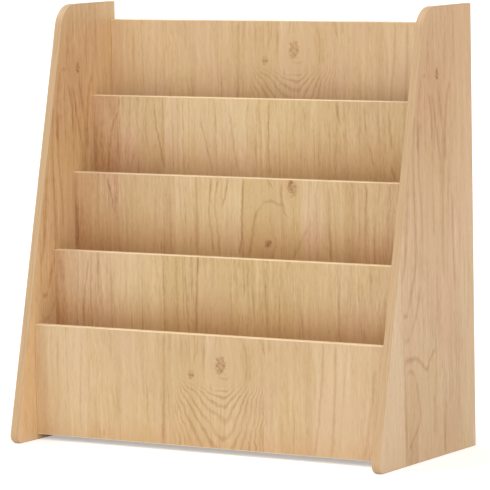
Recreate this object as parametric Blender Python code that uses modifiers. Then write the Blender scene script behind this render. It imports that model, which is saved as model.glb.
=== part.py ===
"""Tiered book display shelf for a child's room, as a flat-pack of boards, cam fittings and dowels.

Units are metres and +Z is up. The front faces -Y, left is -X, and the origin is on the floor
under the middle of the shelf.
"""

import math

import bmesh
import bpy
from mathutils import Matrix, Vector

# Tiers: four pockets between five upright boards that step up and back
POCKETS = 4
WIDTH = 0.600
TIER_RUN = 0.0525
TIER_RISE = 0.107
FRONT_PANEL_TOP = 0.1655
FIRST_DIVIDER_TOP = 0.267
POCKET_DEPTH = 0.1455
UNDERSIDE_GAP = 0.008

# Side panels: square at the back, leaning front edge, rounded front corners
FRONT_SETBACK = 0.049
SIDE_REVEAL = 0.026
FRONT_LEAN = math.radians(13.16)
TOP_CORNER_RADIUS = 0.037
FOOT_CORNER_RADIUS = 0.012

# Board thicknesses, and the easing of every board edge
SIDE_THICKNESS = 0.012
UPRIGHT_THICKNESS = 0.012
FLOOR_THICKNESS = 0.012
EDGE_EASE = 0.0006

# Fittings at each end of an upright board: low dowel, cam fitting, high dowel
LOW_DOWEL_HEIGHT = 0.028
CAM_HEIGHT_ON_BOARD = 0.060
HIGH_DOWEL_DROP = 0.040
CAM_SETBACK = 0.024
BLIND_SKIN = 0.0026
CAM_SKIN = 0.0023

# Dowels
DOWEL_RADIUS = 0.003
DOWEL_REACH = 0.021
DOWEL_CHAMFER = 0.0008

# Cams
CAM_RADIUS = 0.006
CAM_RECESS = 0.0003
CROSS_LENGTH = 0.007
CROSS_WIDTH = 0.0012
CROSS_DEPTH = 0.0016

# Cam bolts: threaded into the side panel, with a head that the cam grips
THREAD_RADIUS = 0.0027
THREAD_ROOT_RADIUS = 0.0022
THREAD_RIDGES = 3
COLLAR_RADIUS = 0.0032
COLLAR_THICKNESS = 0.0012
SHANK_RADIUS = 0.0025
NECK_RADIUS = 0.0014
NECK_LENGTH = 0.005
HEAD_RADIUS = 0.0022
HEAD_LENGTH = 0.0026

# Clearances: between touching faces, and round a fitting in its bore
SEAT_GAP = 0.0003
BORE_GAP = 0.0003
CUT_OVERSHOOT = 0.002

# Facets of the round pieces and corners
TOP_ARC_STEPS = 12
FOOT_ARC_STEPS = 6
BORE_SIDES = 12
BORE_TURN = math.pi / (2 * BORE_SIDES)
DOWEL_SIDES = 10
CAM_SIDES = 20
BOLT_STEPS = 10
SMOOTH_ANGLE = math.radians(40)

# Sizes that follow from those above
DEPTH = FRONT_SETBACK + POCKETS * TIER_RUN + UPRIGHT_THICKNESS
BACK_PANEL_TOP = FIRST_DIVIDER_TOP + (POCKETS - 1) * TIER_RISE
HEIGHT = BACK_PANEL_TOP + SIDE_REVEAL
INNER_HALF = WIDTH / 2 - SIDE_THICKNESS
BOARD_HALF = INNER_HALF - SEAT_GAP
SIDE_BORE_DEPTH = SIDE_THICKNESS - BLIND_SKIN
CAM_BORE_DEPTH = UPRIGHT_THICKNESS - CAM_SKIN
CAM_HEIGHT = CAM_BORE_DEPTH - CAM_RECESS - BORE_GAP

SIDES = {"left": -1, "right": 1}
UPRIGHT_NAMES = (
    ["front_panel"]
    + [f"divider_panel_{number}" for number in range(1, POCKETS)]
    + ["back_panel"]
)


def upright_top(index):
    """Height of the top edge of an upright board, counted from the front panel."""
    if index == 0:
        return FRONT_PANEL_TOP
    return FIRST_DIVIDER_TOP + (index - 1) * TIER_RISE


def floor_bottom(pocket):
    """Height of the underside of a pocket's floor board."""
    if pocket == 0:
        return UNDERSIDE_GAP
    return upright_top(pocket) - POCKET_DEPTH - FLOOR_THICKNESS


def upright_bottom(index):
    """Height of the lower edge of an upright, level with the floor board in front of it."""
    return floor_bottom(max(index - 1, 0))


def upright_front(index):
    """Y of the front face of an upright board; the back panel lies flush with the sides' back edges."""
    return DEPTH / 2 - UPRIGHT_THICKNESS - (POCKETS - index) * TIER_RUN


def fitting_heights(index):
    """Heights of the low dowel, the cam fitting and the high dowel of an upright board."""
    bottom = upright_bottom(index)
    high = upright_top(index) - HIGH_DOWEL_DROP
    return bottom + LOW_DOWEL_HEIGHT, bottom + CAM_HEIGHT_ON_BOARD, high


def floor_dowel_place(pocket):
    """Y and Z of the dowel in the middle of a floor board's end."""
    y = upright_front(pocket) + (UPRIGHT_THICKNESS + TIER_RUN) / 2
    return y, floor_bottom(pocket) + FLOOR_THICKNESS / 2


def clear_scene():
    """Remove every object that is already in the scene."""
    for existing in list(bpy.data.objects):
        bpy.data.objects.remove(existing, do_unlink=True)


def make_collection(name):
    """Add a collection to the scene."""
    collection = bpy.data.collections.new(name)
    bpy.context.scene.collection.children.link(collection)
    return collection


def make_material(name, colour, roughness, metallic=0.0):
    """Plain Principled material with a linear colour."""
    material = bpy.data.materials.new(name)
    material.use_nodes = True
    shader = material.node_tree.nodes["Principled BSDF"]
    shader.inputs["Base Color"].default_value = (*colour, 1.0)
    shader.inputs["Roughness"].default_value = roughness
    shader.inputs["Metallic"].default_value = metallic
    return material


def mesh_from(name, bm):
    """Turn a bmesh into mesh data and free it."""
    mesh = bpy.data.meshes.new(name)
    bm.to_mesh(mesh)
    bm.free()
    return mesh


def place(name, mesh, material, location=(0, 0, 0), rotation=(0, 0, 0)):
    """Add a piece of the shelf as its own object under the shelf's empty."""
    piece = bpy.data.objects.new(name, mesh)
    piece.location = location
    piece.rotation_euler = rotation
    piece.parent = shelf
    if not mesh.materials:
        mesh.materials.append(material)
    parts.objects.link(piece)
    return piece


def shade_round(mesh):
    """Smooth shading with the edges kept sharp."""
    mesh.shade_smooth()
    mesh.set_sharp_from_angle(angle=SMOOTH_ANGLE)


def evaluated_mesh(source):
    """Mesh of an object with its modifiers applied."""
    bpy.context.view_layer.update()
    depsgraph = bpy.context.evaluated_depsgraph_get()
    return bpy.data.meshes.new_from_object(source.evaluated_get(depsgraph))


def ease_edges(piece, width, angle):
    """Break the sharp edges of a piece with a narrow flat."""
    bevel = piece.modifiers.new("Eased edges", "BEVEL")
    bevel.width = width
    bevel.segments = 1
    bevel.limit_method = "ANGLE"
    bevel.angle_limit = angle


def cut(piece, name, cutter_mesh):
    """Cut a mesh out of a piece, keeping the cutter as a wire guide."""
    cutter = bpy.data.objects.new(name, cutter_mesh)
    cutter.hide_render = True
    cutter.display_type = "WIRE"
    cutters.objects.link(cutter)
    difference = piece.modifiers.new("Cut", "BOOLEAN")
    difference.operation = "DIFFERENCE"
    difference.solver = "EXACT"
    difference.object = cutter
    return cutter


def add_bore(bm, mouth, direction, depth, radius):
    """Add a drill to a cutter: a cylinder that starts just outside the mouth of the hole."""
    direction = Vector(direction)
    length = depth + CUT_OVERSHOOT
    middle = Vector(mouth) + direction * (depth - CUT_OVERSHOOT) / 2
    turn = direction.to_track_quat("Z", "Y").to_matrix().to_4x4() @ Matrix.Rotation(BORE_TURN, 4, "Z")
    bmesh.ops.create_cone(
        bm,
        cap_ends=True,
        segments=BORE_SIDES,
        radius1=radius,
        radius2=radius,
        depth=length,
        matrix=Matrix.Translation(middle) @ turn,
    )


def arc(centre, radius, start, end, steps):
    """Points on an arc from one angle to another."""
    angles = [start + (end - start) * step / steps for step in range(steps + 1)]
    return [(centre[0] + radius * math.cos(a), centre[1] + radius * math.sin(a)) for a in angles]


def side_outline():
    """Outline of a side panel as (y, z) points, its front edge a tangent to both corner arcs."""
    back = DEPTH / 2
    foot = (-DEPTH / 2 + FOOT_CORNER_RADIUS, FOOT_CORNER_RADIUS)
    rise = HEIGHT - TOP_CORNER_RADIUS - FOOT_CORNER_RADIUS
    lean_back = rise * math.tan(FRONT_LEAN)
    lean_back += (TOP_CORNER_RADIUS - FOOT_CORNER_RADIUS) / math.cos(FRONT_LEAN)
    top = (foot[0] + lean_back, HEIGHT - TOP_CORNER_RADIUS)
    edge_angle = math.pi - FRONT_LEAN
    points = [(back, 0.0)]
    points += arc(foot, FOOT_CORNER_RADIUS, 1.5 * math.pi, edge_angle, FOOT_ARC_STEPS)
    points += arc(top, TOP_CORNER_RADIUS, edge_angle, 0.5 * math.pi, TOP_ARC_STEPS)
    points.append((back, HEIGHT))
    return points


def side_panel_mesh():
    """Flat outline given its thickness, as one closed mesh in its own plane."""
    curve = bpy.data.curves.new("side_outline", "CURVE")
    curve.dimensions = "2D"
    curve.fill_mode = "BOTH"
    curve.extrude = SIDE_THICKNESS / 2
    outline = side_outline()
    spline = curve.splines.new("POLY")
    spline.points.add(len(outline) - 1)
    for point, (y, z) in zip(spline.points, outline):
        point.co = (y, z, 0.0, 1.0)
    spline.use_cyclic_u = True
    guide = bpy.data.objects.new("side_outline", curve)
    cutters.objects.link(guide)
    mesh = evaluated_mesh(guide)
    bpy.data.objects.remove(guide, do_unlink=True)
    bm = bmesh.new()
    bm.from_mesh(mesh)
    bmesh.ops.remove_doubles(bm, verts=bm.verts, dist=1e-6)
    bmesh.ops.dissolve_limit(bm, angle_limit=0.01, verts=bm.verts, edges=bm.edges)
    bmesh.ops.recalc_face_normals(bm, faces=bm.faces)
    bm.to_mesh(mesh)
    bm.free()
    return mesh


def make_side_panel(side, sign, material):
    """Side panel with a blind bore in its inner face for every dowel and cam bolt."""
    x = sign * (WIDTH - SIDE_THICKNESS) / 2
    upright = (math.pi / 2, 0, math.pi / 2)
    panel = place(f"side_panel_{side}", side_panel_mesh(), material, (x, 0, 0), upright)
    ease_edges(panel, EDGE_EASE, SMOOTH_ANGLE)
    bm = bmesh.new()
    face = sign * INNER_HALF
    for index in range(POCKETS + 1):
        y = upright_front(index) + UPRIGHT_THICKNESS / 2
        low, cam, high = fitting_heights(index)
        for z in (low, high):
            add_bore(bm, (face, y, z), (sign, 0, 0), SIDE_BORE_DEPTH, DOWEL_RADIUS + BORE_GAP)
        add_bore(bm, (face, y, cam), (sign, 0, 0), SIDE_BORE_DEPTH, THREAD_RADIUS + BORE_GAP)
    for pocket in range(POCKETS):
        y, z = floor_dowel_place(pocket)
        add_bore(bm, (face, y, z), (sign, 0, 0), SIDE_BORE_DEPTH, DOWEL_RADIUS + BORE_GAP)
    name = f"side_bores_{side}"
    cut(panel, name, mesh_from(name, bm))


def make_board(name, low, high, material, bores):
    """Box board between two corners, with eased edges and each of its sets of bores."""
    low, high = Vector(low), Vector(high)
    bm = bmesh.new()
    bmesh.ops.create_cube(bm, size=1.0, matrix=Matrix.Diagonal((*(high - low), 1.0)))
    board = place(name, mesh_from(name, bm), material, (low + high) / 2)
    ease_edges(board, EDGE_EASE, SMOOTH_ANGLE)
    for bore_kind, drills in bores.items():
        cutter_name = f"{name}_{bore_kind}"
        cut(board, cutter_name, mesh_from(cutter_name, drills))


def make_upright(index, name, material):
    """Upright board with dowel and bolt bores in both ends and a cam bore near each end at the back."""
    front = upright_front(index)
    middle = front + UPRIGHT_THICKNESS / 2
    rear = front + UPRIGHT_THICKNESS
    low, cam, high = fitting_heights(index)
    bores = {"end_bores": bmesh.new(), "cam_bores": bmesh.new()}
    for sign in SIDES.values():
        end = sign * BOARD_HALF
        inward = (-sign, 0, 0)
        for z in (low, high):
            mouth = (end, middle, z)
            add_bore(bores["end_bores"], mouth, inward, DOWEL_REACH + BORE_GAP, DOWEL_RADIUS + BORE_GAP)
        add_bore(bores["end_bores"], (end, middle, cam), inward, CAM_SETBACK, COLLAR_RADIUS + BORE_GAP)
        cam_mouth = (end - sign * CAM_SETBACK, rear, cam)
        add_bore(bores["cam_bores"], cam_mouth, (0, -1, 0), CAM_BORE_DEPTH, CAM_RADIUS + BORE_GAP)
    corner_low = (-BOARD_HALF, front, upright_bottom(index))
    corner_high = (BOARD_HALF, rear, upright_top(index))
    make_board(name, corner_low, corner_high, material, bores)


def make_floor(pocket, material):
    """Floor board of a pocket, held between two uprights, with a dowel bore in each end."""
    front = upright_front(pocket) + UPRIGHT_THICKNESS + SEAT_GAP
    rear = upright_front(pocket + 1) - SEAT_GAP
    bottom = floor_bottom(pocket)
    y, z = floor_dowel_place(pocket)
    bores = bmesh.new()
    for sign in SIDES.values():
        mouth = (sign * BOARD_HALF, y, z)
        add_bore(bores, mouth, (-sign, 0, 0), DOWEL_REACH + BORE_GAP, DOWEL_RADIUS + BORE_GAP)
    corner_low = (-BOARD_HALF, front, bottom)
    corner_high = (BOARD_HALF, rear, bottom + FLOOR_THICKNESS)
    make_board(f"pocket_floor_{pocket + 1}", corner_low, corner_high, material, {"end_bores": bores})


def dowel_mesh():
    """Round dowel with chamfered ends, its length along Z, reaching into the side panel and the board."""
    in_side = SIDE_BORE_DEPTH - BORE_GAP
    in_board = SEAT_GAP + DOWEL_REACH
    bm = bmesh.new()
    bmesh.ops.create_cone(
        bm,
        cap_ends=True,
        segments=DOWEL_SIDES,
        radius1=DOWEL_RADIUS,
        radius2=DOWEL_RADIUS,
        depth=in_side + in_board,
        matrix=Matrix.Translation((0, 0, (in_board - in_side) / 2)),
    )
    mesh = mesh_from("dowel", bm)
    shade_round(mesh)
    return mesh


def bolt_profile():
    """Outer side of a cam bolt from the tip of its head down to the tip of its thread, as (radius, z)."""
    cam_side = SEAT_GAP + CAM_SETBACK - CAM_RADIUS
    head_bottom = cam_side + NECK_LENGTH
    collar_bottom = SEAT_GAP
    collar_top = collar_bottom + COLLAR_THICKNESS
    thread_length = SIDE_BORE_DEPTH - BORE_GAP
    points = [
        (0.0, head_bottom + HEAD_LENGTH),
        (HEAD_RADIUS, head_bottom + HEAD_LENGTH),
        (HEAD_RADIUS, head_bottom),
        (NECK_RADIUS, head_bottom),
        (NECK_RADIUS, cam_side),
        (SHANK_RADIUS, cam_side),
        (SHANK_RADIUS, collar_top),
        (COLLAR_RADIUS, collar_top),
        (COLLAR_RADIUS, collar_bottom),
        (THREAD_ROOT_RADIUS, collar_bottom),
    ]
    pitch = thread_length / THREAD_RIDGES
    for ridge in range(THREAD_RIDGES):
        top = -ridge * pitch
        points.append((THREAD_RADIUS, top - pitch / 2))
        points.append((THREAD_ROOT_RADIUS, top - pitch))
    points.append((0.0, -thread_length))
    return points


def bolt_mesh():
    """Cam bolt turned about Z, with z = 0 on the side panel's inner face."""
    points = bolt_profile()
    profile = bpy.data.meshes.new("bolt_profile")
    edges = [(i, i + 1) for i in range(len(points) - 1)]
    profile.from_pydata([(radius, 0.0, z) for radius, z in points], edges, [])
    guide = bpy.data.objects.new("bolt_profile", profile)
    cutters.objects.link(guide)
    screw = guide.modifiers.new("Turned", "SCREW")
    screw.axis = "Z"
    screw.steps = BOLT_STEPS
    screw.render_steps = BOLT_STEPS
    screw.use_merge_vertices = True
    screw.merge_threshold = 0.00001
    mesh = evaluated_mesh(guide)
    bpy.data.objects.remove(guide, do_unlink=True)
    mesh.name = "cam_bolt"
    shade_round(mesh)
    return mesh


def cam_mesh():
    """Cam with its axis along Z and its face at z = 0: a cross recess, and a hole at +X for the bolt's head."""
    bm = bmesh.new()
    bmesh.ops.create_cone(
        bm,
        cap_ends=True,
        segments=CAM_SIDES,
        radius1=CAM_RADIUS,
        radius2=CAM_RADIUS,
        depth=CAM_HEIGHT,
        matrix=Matrix.Translation((0, 0, -CAM_HEIGHT / 2)),
    )
    blank = bpy.data.objects.new("cam_blank", mesh_from("cam_blank", bm))
    cutters.objects.link(blank)
    tools = bmesh.new()
    bolt_level = CAM_RECESS - UPRIGHT_THICKNESS / 2
    head_end = CAM_RADIUS - NECK_LENGTH - HEAD_LENGTH
    hole_depth = CAM_RADIUS - head_end + BORE_GAP
    mouth = (CAM_RADIUS, 0, bolt_level)
    add_bore(tools, mouth, (-1, 0, 0), hole_depth, HEAD_RADIUS + BORE_GAP)
    hole = cut(blank, "cam_hole", mesh_from("cam_hole", tools))
    recesses = []
    for name, size in (
        ("cross_bar", (CROSS_LENGTH, CROSS_WIDTH, 2 * CROSS_DEPTH)),
        ("cross_post", (CROSS_WIDTH, CROSS_LENGTH, 2 * CROSS_DEPTH)),
    ):
        bar = bmesh.new()
        bmesh.ops.create_cube(bar, size=1.0, matrix=Matrix.Diagonal((*size, 1.0)))
        recesses.append(cut(blank, name, mesh_from(name, bar)))
    mesh = evaluated_mesh(blank)
    mesh.name = "cam"
    shade_round(mesh)
    for guide in (blank, hole, *recesses):
        bpy.data.objects.remove(guide, do_unlink=True)
    return mesh


def make_dowel(name, mesh, sign, y, z, material):
    """Dowel across the joint between a side panel and the end of a board."""
    dowel = place(name, mesh, material, (sign * INNER_HALF, y, z), (0, -sign * math.pi / 2, 0))
    ease_edges(dowel, DOWEL_CHAMFER, math.radians(60))


def make_fittings(dowel_material, bolt_material, cam_material):
    """All dowels, cam bolts and cams, one object each."""
    dowel = dowel_mesh()
    bolt = bolt_mesh()
    cam = cam_mesh()
    for index, board in enumerate(UPRIGHT_NAMES):
        short = board.replace("_panel", "")
        front = upright_front(index)
        middle = front + UPRIGHT_THICKNESS / 2
        cam_face = front + UPRIGHT_THICKNESS - CAM_RECESS
        low, cam_z, high = fitting_heights(index)
        for side, sign in SIDES.items():
            make_dowel(f"dowel_{short}_{side}_low", dowel, sign, middle, low, dowel_material)
            make_dowel(f"dowel_{short}_{side}_high", dowel, sign, middle, high, dowel_material)
            inward = (0, -sign * math.pi / 2, 0)
            place(f"cam_bolt_{short}_{side}", bolt, bolt_material, (sign * INNER_HALF, middle, cam_z), inward)
            cam_x = sign * (BOARD_HALF - CAM_SETBACK)
            facing = (-math.pi / 2, 0, 0) if sign > 0 else (-math.pi / 2, math.pi, 0)
            place(f"cam_{short}_{side}", cam, cam_material, (cam_x, cam_face, cam_z), facing)
    for pocket in range(POCKETS):
        y, z = floor_dowel_place(pocket)
        for side, sign in SIDES.items():
            make_dowel(f"dowel_floor_{pocket + 1}_{side}", dowel, sign, y, z, dowel_material)


clear_scene()
parts = make_collection("tiered_book_shelf")
cutters = make_collection("cutters")
shelf = bpy.data.objects.new("shelf", None)
parts.objects.link(shelf)

side_board = make_material("oak_foil_side_board", (0.62, 0.42, 0.24), 0.5)
upright_board = make_material("oak_foil_upright_board", (0.66, 0.46, 0.26), 0.5)
floor_board = make_material("oak_foil_floor_board", (0.62, 0.42, 0.23), 0.5)
beech = make_material("beech_dowel", (0.69, 0.49, 0.30), 0.7)
steel = make_material("zinc_plated_steel_bolt", (0.62, 0.62, 0.60), 0.35, 1.0)
zinc = make_material("cast_zinc_cam", (0.50, 0.51, 0.52), 0.45, 1.0)

for side_name, side_sign in SIDES.items():
    make_side_panel(side_name, side_sign, side_board)
for board_index, board_name in enumerate(UPRIGHT_NAMES):
    make_upright(board_index, board_name, upright_board)
for pocket_index in range(POCKETS):
    make_floor(pocket_index, floor_board)
make_fittings(beech, steel, zinc)
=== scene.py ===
"""Looks of the tiered book display shelf: foil-faced boards, their fittings, and a plain studio.

Units are metres and +Z is up. The front faces -Y. Prints on the boards are laid out in millimetres.
"""

import math
from collections import namedtuple

import bmesh
import bpy
from mathutils import Euler, Matrix, Vector


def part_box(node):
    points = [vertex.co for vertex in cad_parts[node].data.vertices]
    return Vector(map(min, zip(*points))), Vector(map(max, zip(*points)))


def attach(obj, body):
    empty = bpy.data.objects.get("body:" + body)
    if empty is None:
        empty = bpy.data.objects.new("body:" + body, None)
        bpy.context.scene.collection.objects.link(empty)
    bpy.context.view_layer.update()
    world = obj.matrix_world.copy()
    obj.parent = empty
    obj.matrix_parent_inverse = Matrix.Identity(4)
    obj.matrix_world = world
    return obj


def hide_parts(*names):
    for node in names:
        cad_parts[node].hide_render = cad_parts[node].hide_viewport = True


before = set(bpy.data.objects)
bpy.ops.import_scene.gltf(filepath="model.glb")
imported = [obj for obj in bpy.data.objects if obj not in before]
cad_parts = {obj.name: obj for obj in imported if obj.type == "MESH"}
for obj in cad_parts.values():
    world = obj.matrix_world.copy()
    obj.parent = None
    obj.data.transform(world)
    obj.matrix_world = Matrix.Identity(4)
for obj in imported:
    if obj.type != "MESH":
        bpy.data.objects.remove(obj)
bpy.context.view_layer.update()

bl_info = {
    "name": "Tiered Book Shelf",
    "version": (1, 0, 0),
    "blender": (4, 5, 0),
    "location": "3D View > Sidebar > Book Shelf",
    "description": "Dresses a tiered book display shelf with oak foil boards and fittings",
    "category": "Object",
}

MM = 0.001
PER_METRE = 1000
WHITE = (1.0, 1.0, 1.0, 1.0)
X, Y = 0, 1

# Pieces of the frame, by kind
NODES = sorted(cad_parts)
SIDE_PANELS = [name for name in NODES if name.startswith("side_panel")]
UPRIGHTS = ["front_panel"] + [name for name in NODES if name.startswith("divider_panel")] + ["back_panel"]
POCKET_FLOORS = [name for name in NODES if name.startswith("pocket_floor")]
DOWELS = [name for name in NODES if name.startswith("dowel")]
CAM_BOLTS = [name for name in NODES if name.startswith("cam_bolt")]
CAMS = [name for name in NODES if name.startswith("cam_") and name not in CAM_BOLTS]

# Material slots of a board
FOIL_SLOT = 0
BAND_SLOT = 1
CORE_SLOT = 2

# Edges: angles from which one is rounded or shaded sharp, and the gaps that a weld closes
ROUNDED_FROM = math.radians(50)
SHARP_FROM = math.radians(35)
BOARD_WELD = 0.01 * MM
CAM_WELD = 0.005 * MM

# Bores: how near a face one opens there, how far it then runs past the face, and the turn of its facets
BORE_MOUTH = 1.0 * MM
BORE_OVERSHOOT = 2.0 * MM
BORE_TURN = 0.05

# Facets of the fittings, and stations along them
ROD_STATIONS = 4
CAM_SIDES = 48
CAM_HOLE_SIDES = 24
STEPS_PER_FLUTE = 4
BOLT_SIDES = 20
BOLT_STATIONS = 160

# Shares of a cam bolt's length from thread tip to head, with its radius there as a share of the collar's
SHANK_SHARE = 0.78
THREAD_END = 0.268
THREAD_CREST = 0.1
BOLT_PROFILE = [
    (0.000, 0.42),
    (0.010, 0.70),
    (THREAD_END, 0.70),
    (0.272, 1.00),
    (0.308, 1.00),
    (0.312, SHANK_SHARE),
    (0.762, SHANK_SHARE),
    (0.770, 0.44),
    (0.915, 0.44),
    (0.922, 0.69),
    (0.992, 0.69),
    (1.000, 0.50),
]

# Softboxes: name, its level in the settings, its tilt from overhead and its turn to the right, in degrees
SOFTBOXES = [
    ("left_softbox", "left_level", 37, -75),
    ("right_softbox", "right_level", 48, 75),
    ("front_softbox", "front_level", 62, 25),
]
SOFTBOX_HEIGHT = 2.5
STUDIO_HALF = 40.0
SENSOR_WIDTH = 36.0
CAMERA_REACH = 200.0
CAMERA_TARGET = Vector((0.0365, -0.0386, 0.2869))


def linear(code):
    """Linear red, green and blue of an sRGB hex colour."""
    channels = [int(code[i : i + 2], 16) / 255 for i in (1, 3, 5)]
    return tuple(c / 12.92 if c <= 0.04045 else ((c + 0.055) / 1.055) ** 2.4 for c in channels)


def length(label, text, size):
    """A length that a user can set, in metres."""
    return bpy.props.FloatProperty(
        name=label, description=text, default=size, min=0.0, unit="LENGTH", precision=5
    )


def angle(label, text, size):
    """An angle that a user can set, in radians."""
    return bpy.props.FloatProperty(name=label, description=text, default=size, subtype="ANGLE")


def level(label, text, strength):
    """A strength of light that a user can set."""
    return bpy.props.FloatProperty(name=label, description=text, default=strength, min=0.0)


def count(label, text, number, least):
    """A number of things that a user can set."""
    return bpy.props.IntProperty(name=label, description=text, default=number, min=least)


def colour(label, text, code):
    """A colour that a user can set, from its sRGB hex value."""
    return bpy.props.FloatVectorProperty(
        name=label, description=text, default=linear(code), size=3, min=0.0, max=1.0, subtype="COLOR"
    )


class BoardSettings(bpy.types.PropertyGroup):
    """Shape of the boards."""

    edge_radius: length("Edge radius", "Rounding of every board edge", 0.9 * MM)
    edge_steps: count("Edge steps", "Facets of that rounding", 3, 1)
    front_lean: angle("Front lean", "Backward lean of the sides", math.radians(13.16))
    top_corner: length("Top corner radius", "Round top front corner of the sides", 37 * MM)
    foot_corner: length("Foot corner radius", "Round front foot of the sides", 12 * MM)
    corner_steps: count("Corner steps", "Points on a round corner", 28, 2)
    bore_gap: length("Bore gap", "Room round a fitting in its bore", 0.3 * MM)
    bore_sides: count("Bore sides", "Facets of a drilled bore", 24, 8)


class FoilSettings(bpy.types.PropertyGroup):
    """Colours of the printed oak and of the board under it."""

    pale: colour("Pale wood", "Lightest early wood in the print", "#ECD3AE")
    body: colour("Body", "Main tone of the print", "#D6B68C")
    grain: colour("Grain", "Grain lines", "#BC9468")
    knot: colour("Knot", "Knots and darkest flecks", "#7A5D40")
    rosy: colour("Rosy tint", "Laid over pinkish staves", "#FFF5F8")
    golden: colour("Golden tint", "Laid over yellowish staves", "#FCFBE8")
    # Amber tint: painted shade low in the pockets, painted warm bounce light on the left side panel, else a
    # tint of the print
    amber: colour("Amber tint", "Laid over the deeper toned parts", "#F6E5D5")
    # Paler than the body, partly as painted light on the top edges from the lamps above
    top_edge_with_painted_light: colour("Top edges", "Narrow faces of uprights and floors", "#F3D8B0")
    side_edge: colour("Side edges", "Narrow faces of the side panels", "#CAA77D")
    core: colour("Core", "Particle board under the foil", "#C2A57C")
    roughness: bpy.props.FloatProperty(
        name="Roughness", description="Satin of the foil", default=0.47, min=0.0, max=1.0, subtype="FACTOR"
    )


class FittingSettings(bpy.types.PropertyGroup):
    """Dowels, cams and cam bolts."""

    dowel_chamfer: length("Dowel chamfer", "Bevel at the ends of a dowel", 0.8 * MM)
    flutes: count("Flutes", "Glue grooves round a dowel", 12, 3)
    flute_depth: length("Flute depth", "Depth of a glue groove", 0.22 * MM)
    cam_chamfer: length("Cam chamfer", "Bevel round both ends of a cam", 0.3 * MM)
    cross_length: length("Cross length", "Screwdriver cross in a cam", 7.0 * MM)
    cross_width: length("Cross width", "Width of that cross", 1.2 * MM)
    cross_depth: length("Cross depth", "Depth of that cross", 1.6 * MM)
    thread_ridges: count("Thread ridges", "Ridges on a bolt's thread", 6, 1)
    zinc: colour("Cast zinc", "Cams", "#B4B6B6")
    steel: colour("Plated steel", "Cam bolts", "#C9C8C2")
    beech: colour("Beech", "Dowels", "#DCBE94")


class StageSettings(bpy.types.PropertyGroup):
    """Floor, light and camera."""

    floor: colour("Floor", "Pale studio floor", "#F2F2F2")
    floor_lift: level("Floor lift", "White added where the floor is seen", 0.38)
    sky_level: level("Sky level", "Even light from all round", 0.44)
    left_level: level("Left softbox", "Light from the left", 1.28)
    right_level: level("Right softbox", "Light from the right", 0.66)
    front_level: level("Front softbox", "Light from the front", 0.83)
    softbox_spread: angle("Softbox spread", "Width of each softbox as seen from the shelf", math.radians(40))
    camera_turn: angle("Camera turn", "Camera to the right of the front", 0.55732)
    camera_rise: angle("Camera rise", "Camera above the level", 0.106834)
    camera_roll: angle("Camera roll", "Tilt of the horizon", -0.018591)
    camera_distance: length("Camera distance", "Camera to its target", 4.93445)
    lens: bpy.props.FloatProperty(name="Lens", description="Focal length", default=262.87, unit="CAMERA")


SETTINGS = {
    "shelf_boards": BoardSettings,
    "shelf_foil": FoilSettings,
    "shelf_fittings": FittingSettings,
    "shelf_stage": StageSettings,
}

# Kinds of node that are used often, and settings that go with them
MATH = "ShaderNodeMath"
VECTOR_MATH = "ShaderNodeVectorMath"
MAP_RANGE = "ShaderNodeMapRange"
MAPPING = "ShaderNodeMapping"
NOISE = "ShaderNodeTexNoise"
RAMP = "ShaderNodeValToRGB"
MIX = "ShaderNodeMix"
BUMP = "ShaderNodeBump"
COORDINATES = "ShaderNodeTexCoord"
COMBINE = "ShaderNodeCombineXYZ"
SEPARATE = "ShaderNodeSeparateXYZ"
SEPARATE_COLOUR = "ShaderNodeSeparateColor"
SET_MATERIAL = "GeometryNodeSetMaterial"
SET_POSITION = "GeometryNodeSetPosition"
TRANSFORM = "GeometryNodeTransform"
MERGE = "GeometryNodeMergeByDistance"
MESH_BOOLEAN = "GeometryNodeMeshBoolean"
CURVE_TO_MESH = "GeometryNodeCurveToMesh"
CIRCLE = "GeometryNodeCurvePrimitiveCircle"
LINE = "GeometryNodeCurvePrimitiveLine"
RESAMPLE = "GeometryNodeResampleCurve"
INDEX = "GeometryNodeInputIndex"
POSITION = "GeometryNodeInputPosition"
ON_POINTS = "GeometryNodeInstanceOnPoints"
SMOOTH = {"interpolation_type": "SMOOTHSTEP"}
TINTED = {"data_type": "RGBA", "blend_type": "MULTIPLY"}
CUT = {"operation": "DIFFERENCE", "solver": "EXACT"}


# Small helpers for nodes


def connect(tree, node, inputs):
    """Set inputs, in order or by name; each is a value, a socket, or a node whose output is linked."""
    for key, value in inputs.items() if isinstance(inputs, dict) else enumerate(inputs):
        if isinstance(value, bpy.types.Node):
            value = next(output for output in value.outputs if output.enabled)
        if isinstance(value, bpy.types.NodeSocket):
            tree.links.new(value, node.inputs[key])
        else:
            node.inputs[key].default_value = value


def add(tree, kind, inputs=(), **settings):
    """Add a node with its settings and inputs."""
    node = tree.nodes.new(kind)
    for name, value in settings.items():
        setattr(node, name, value)
    connect(tree, node, inputs)
    return node


def new_material(name):
    """An empty material with its Principled shader, as (material, tree, shader)."""
    material = bpy.data.materials.new(name)
    material.use_nodes = True
    tree = material.node_tree
    return material, tree, tree.nodes["Principled BSDF"]


def set_stops(ramp_node, stops, interpolation="LINEAR"):
    """Give a colour ramp its stops, as (position, (red, green, blue))."""
    ramp = ramp_node.color_ramp
    ramp.interpolation = interpolation
    while len(ramp.elements) < len(stops):
        ramp.elements.new(1.0)
    while len(ramp.elements) > len(stops):
        ramp.elements.remove(ramp.elements[-1])
    for element, (position, value) in zip(ramp.elements, stops):
        element.position = position
        element.color = (*value, 1.0)


def set_curve(curve, points, handle="AUTO"):
    """Give one curve of a curve node its points, in rising order."""
    while len(curve.points) < len(points):
        curve.points.new(0.0, 0.0)
    for point, place in zip(curve.points, points):
        point.location = place
        point.handle_type = handle


# Prints, laid out in millimetres: u runs across the board from its middle, v up it from its top edge

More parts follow.
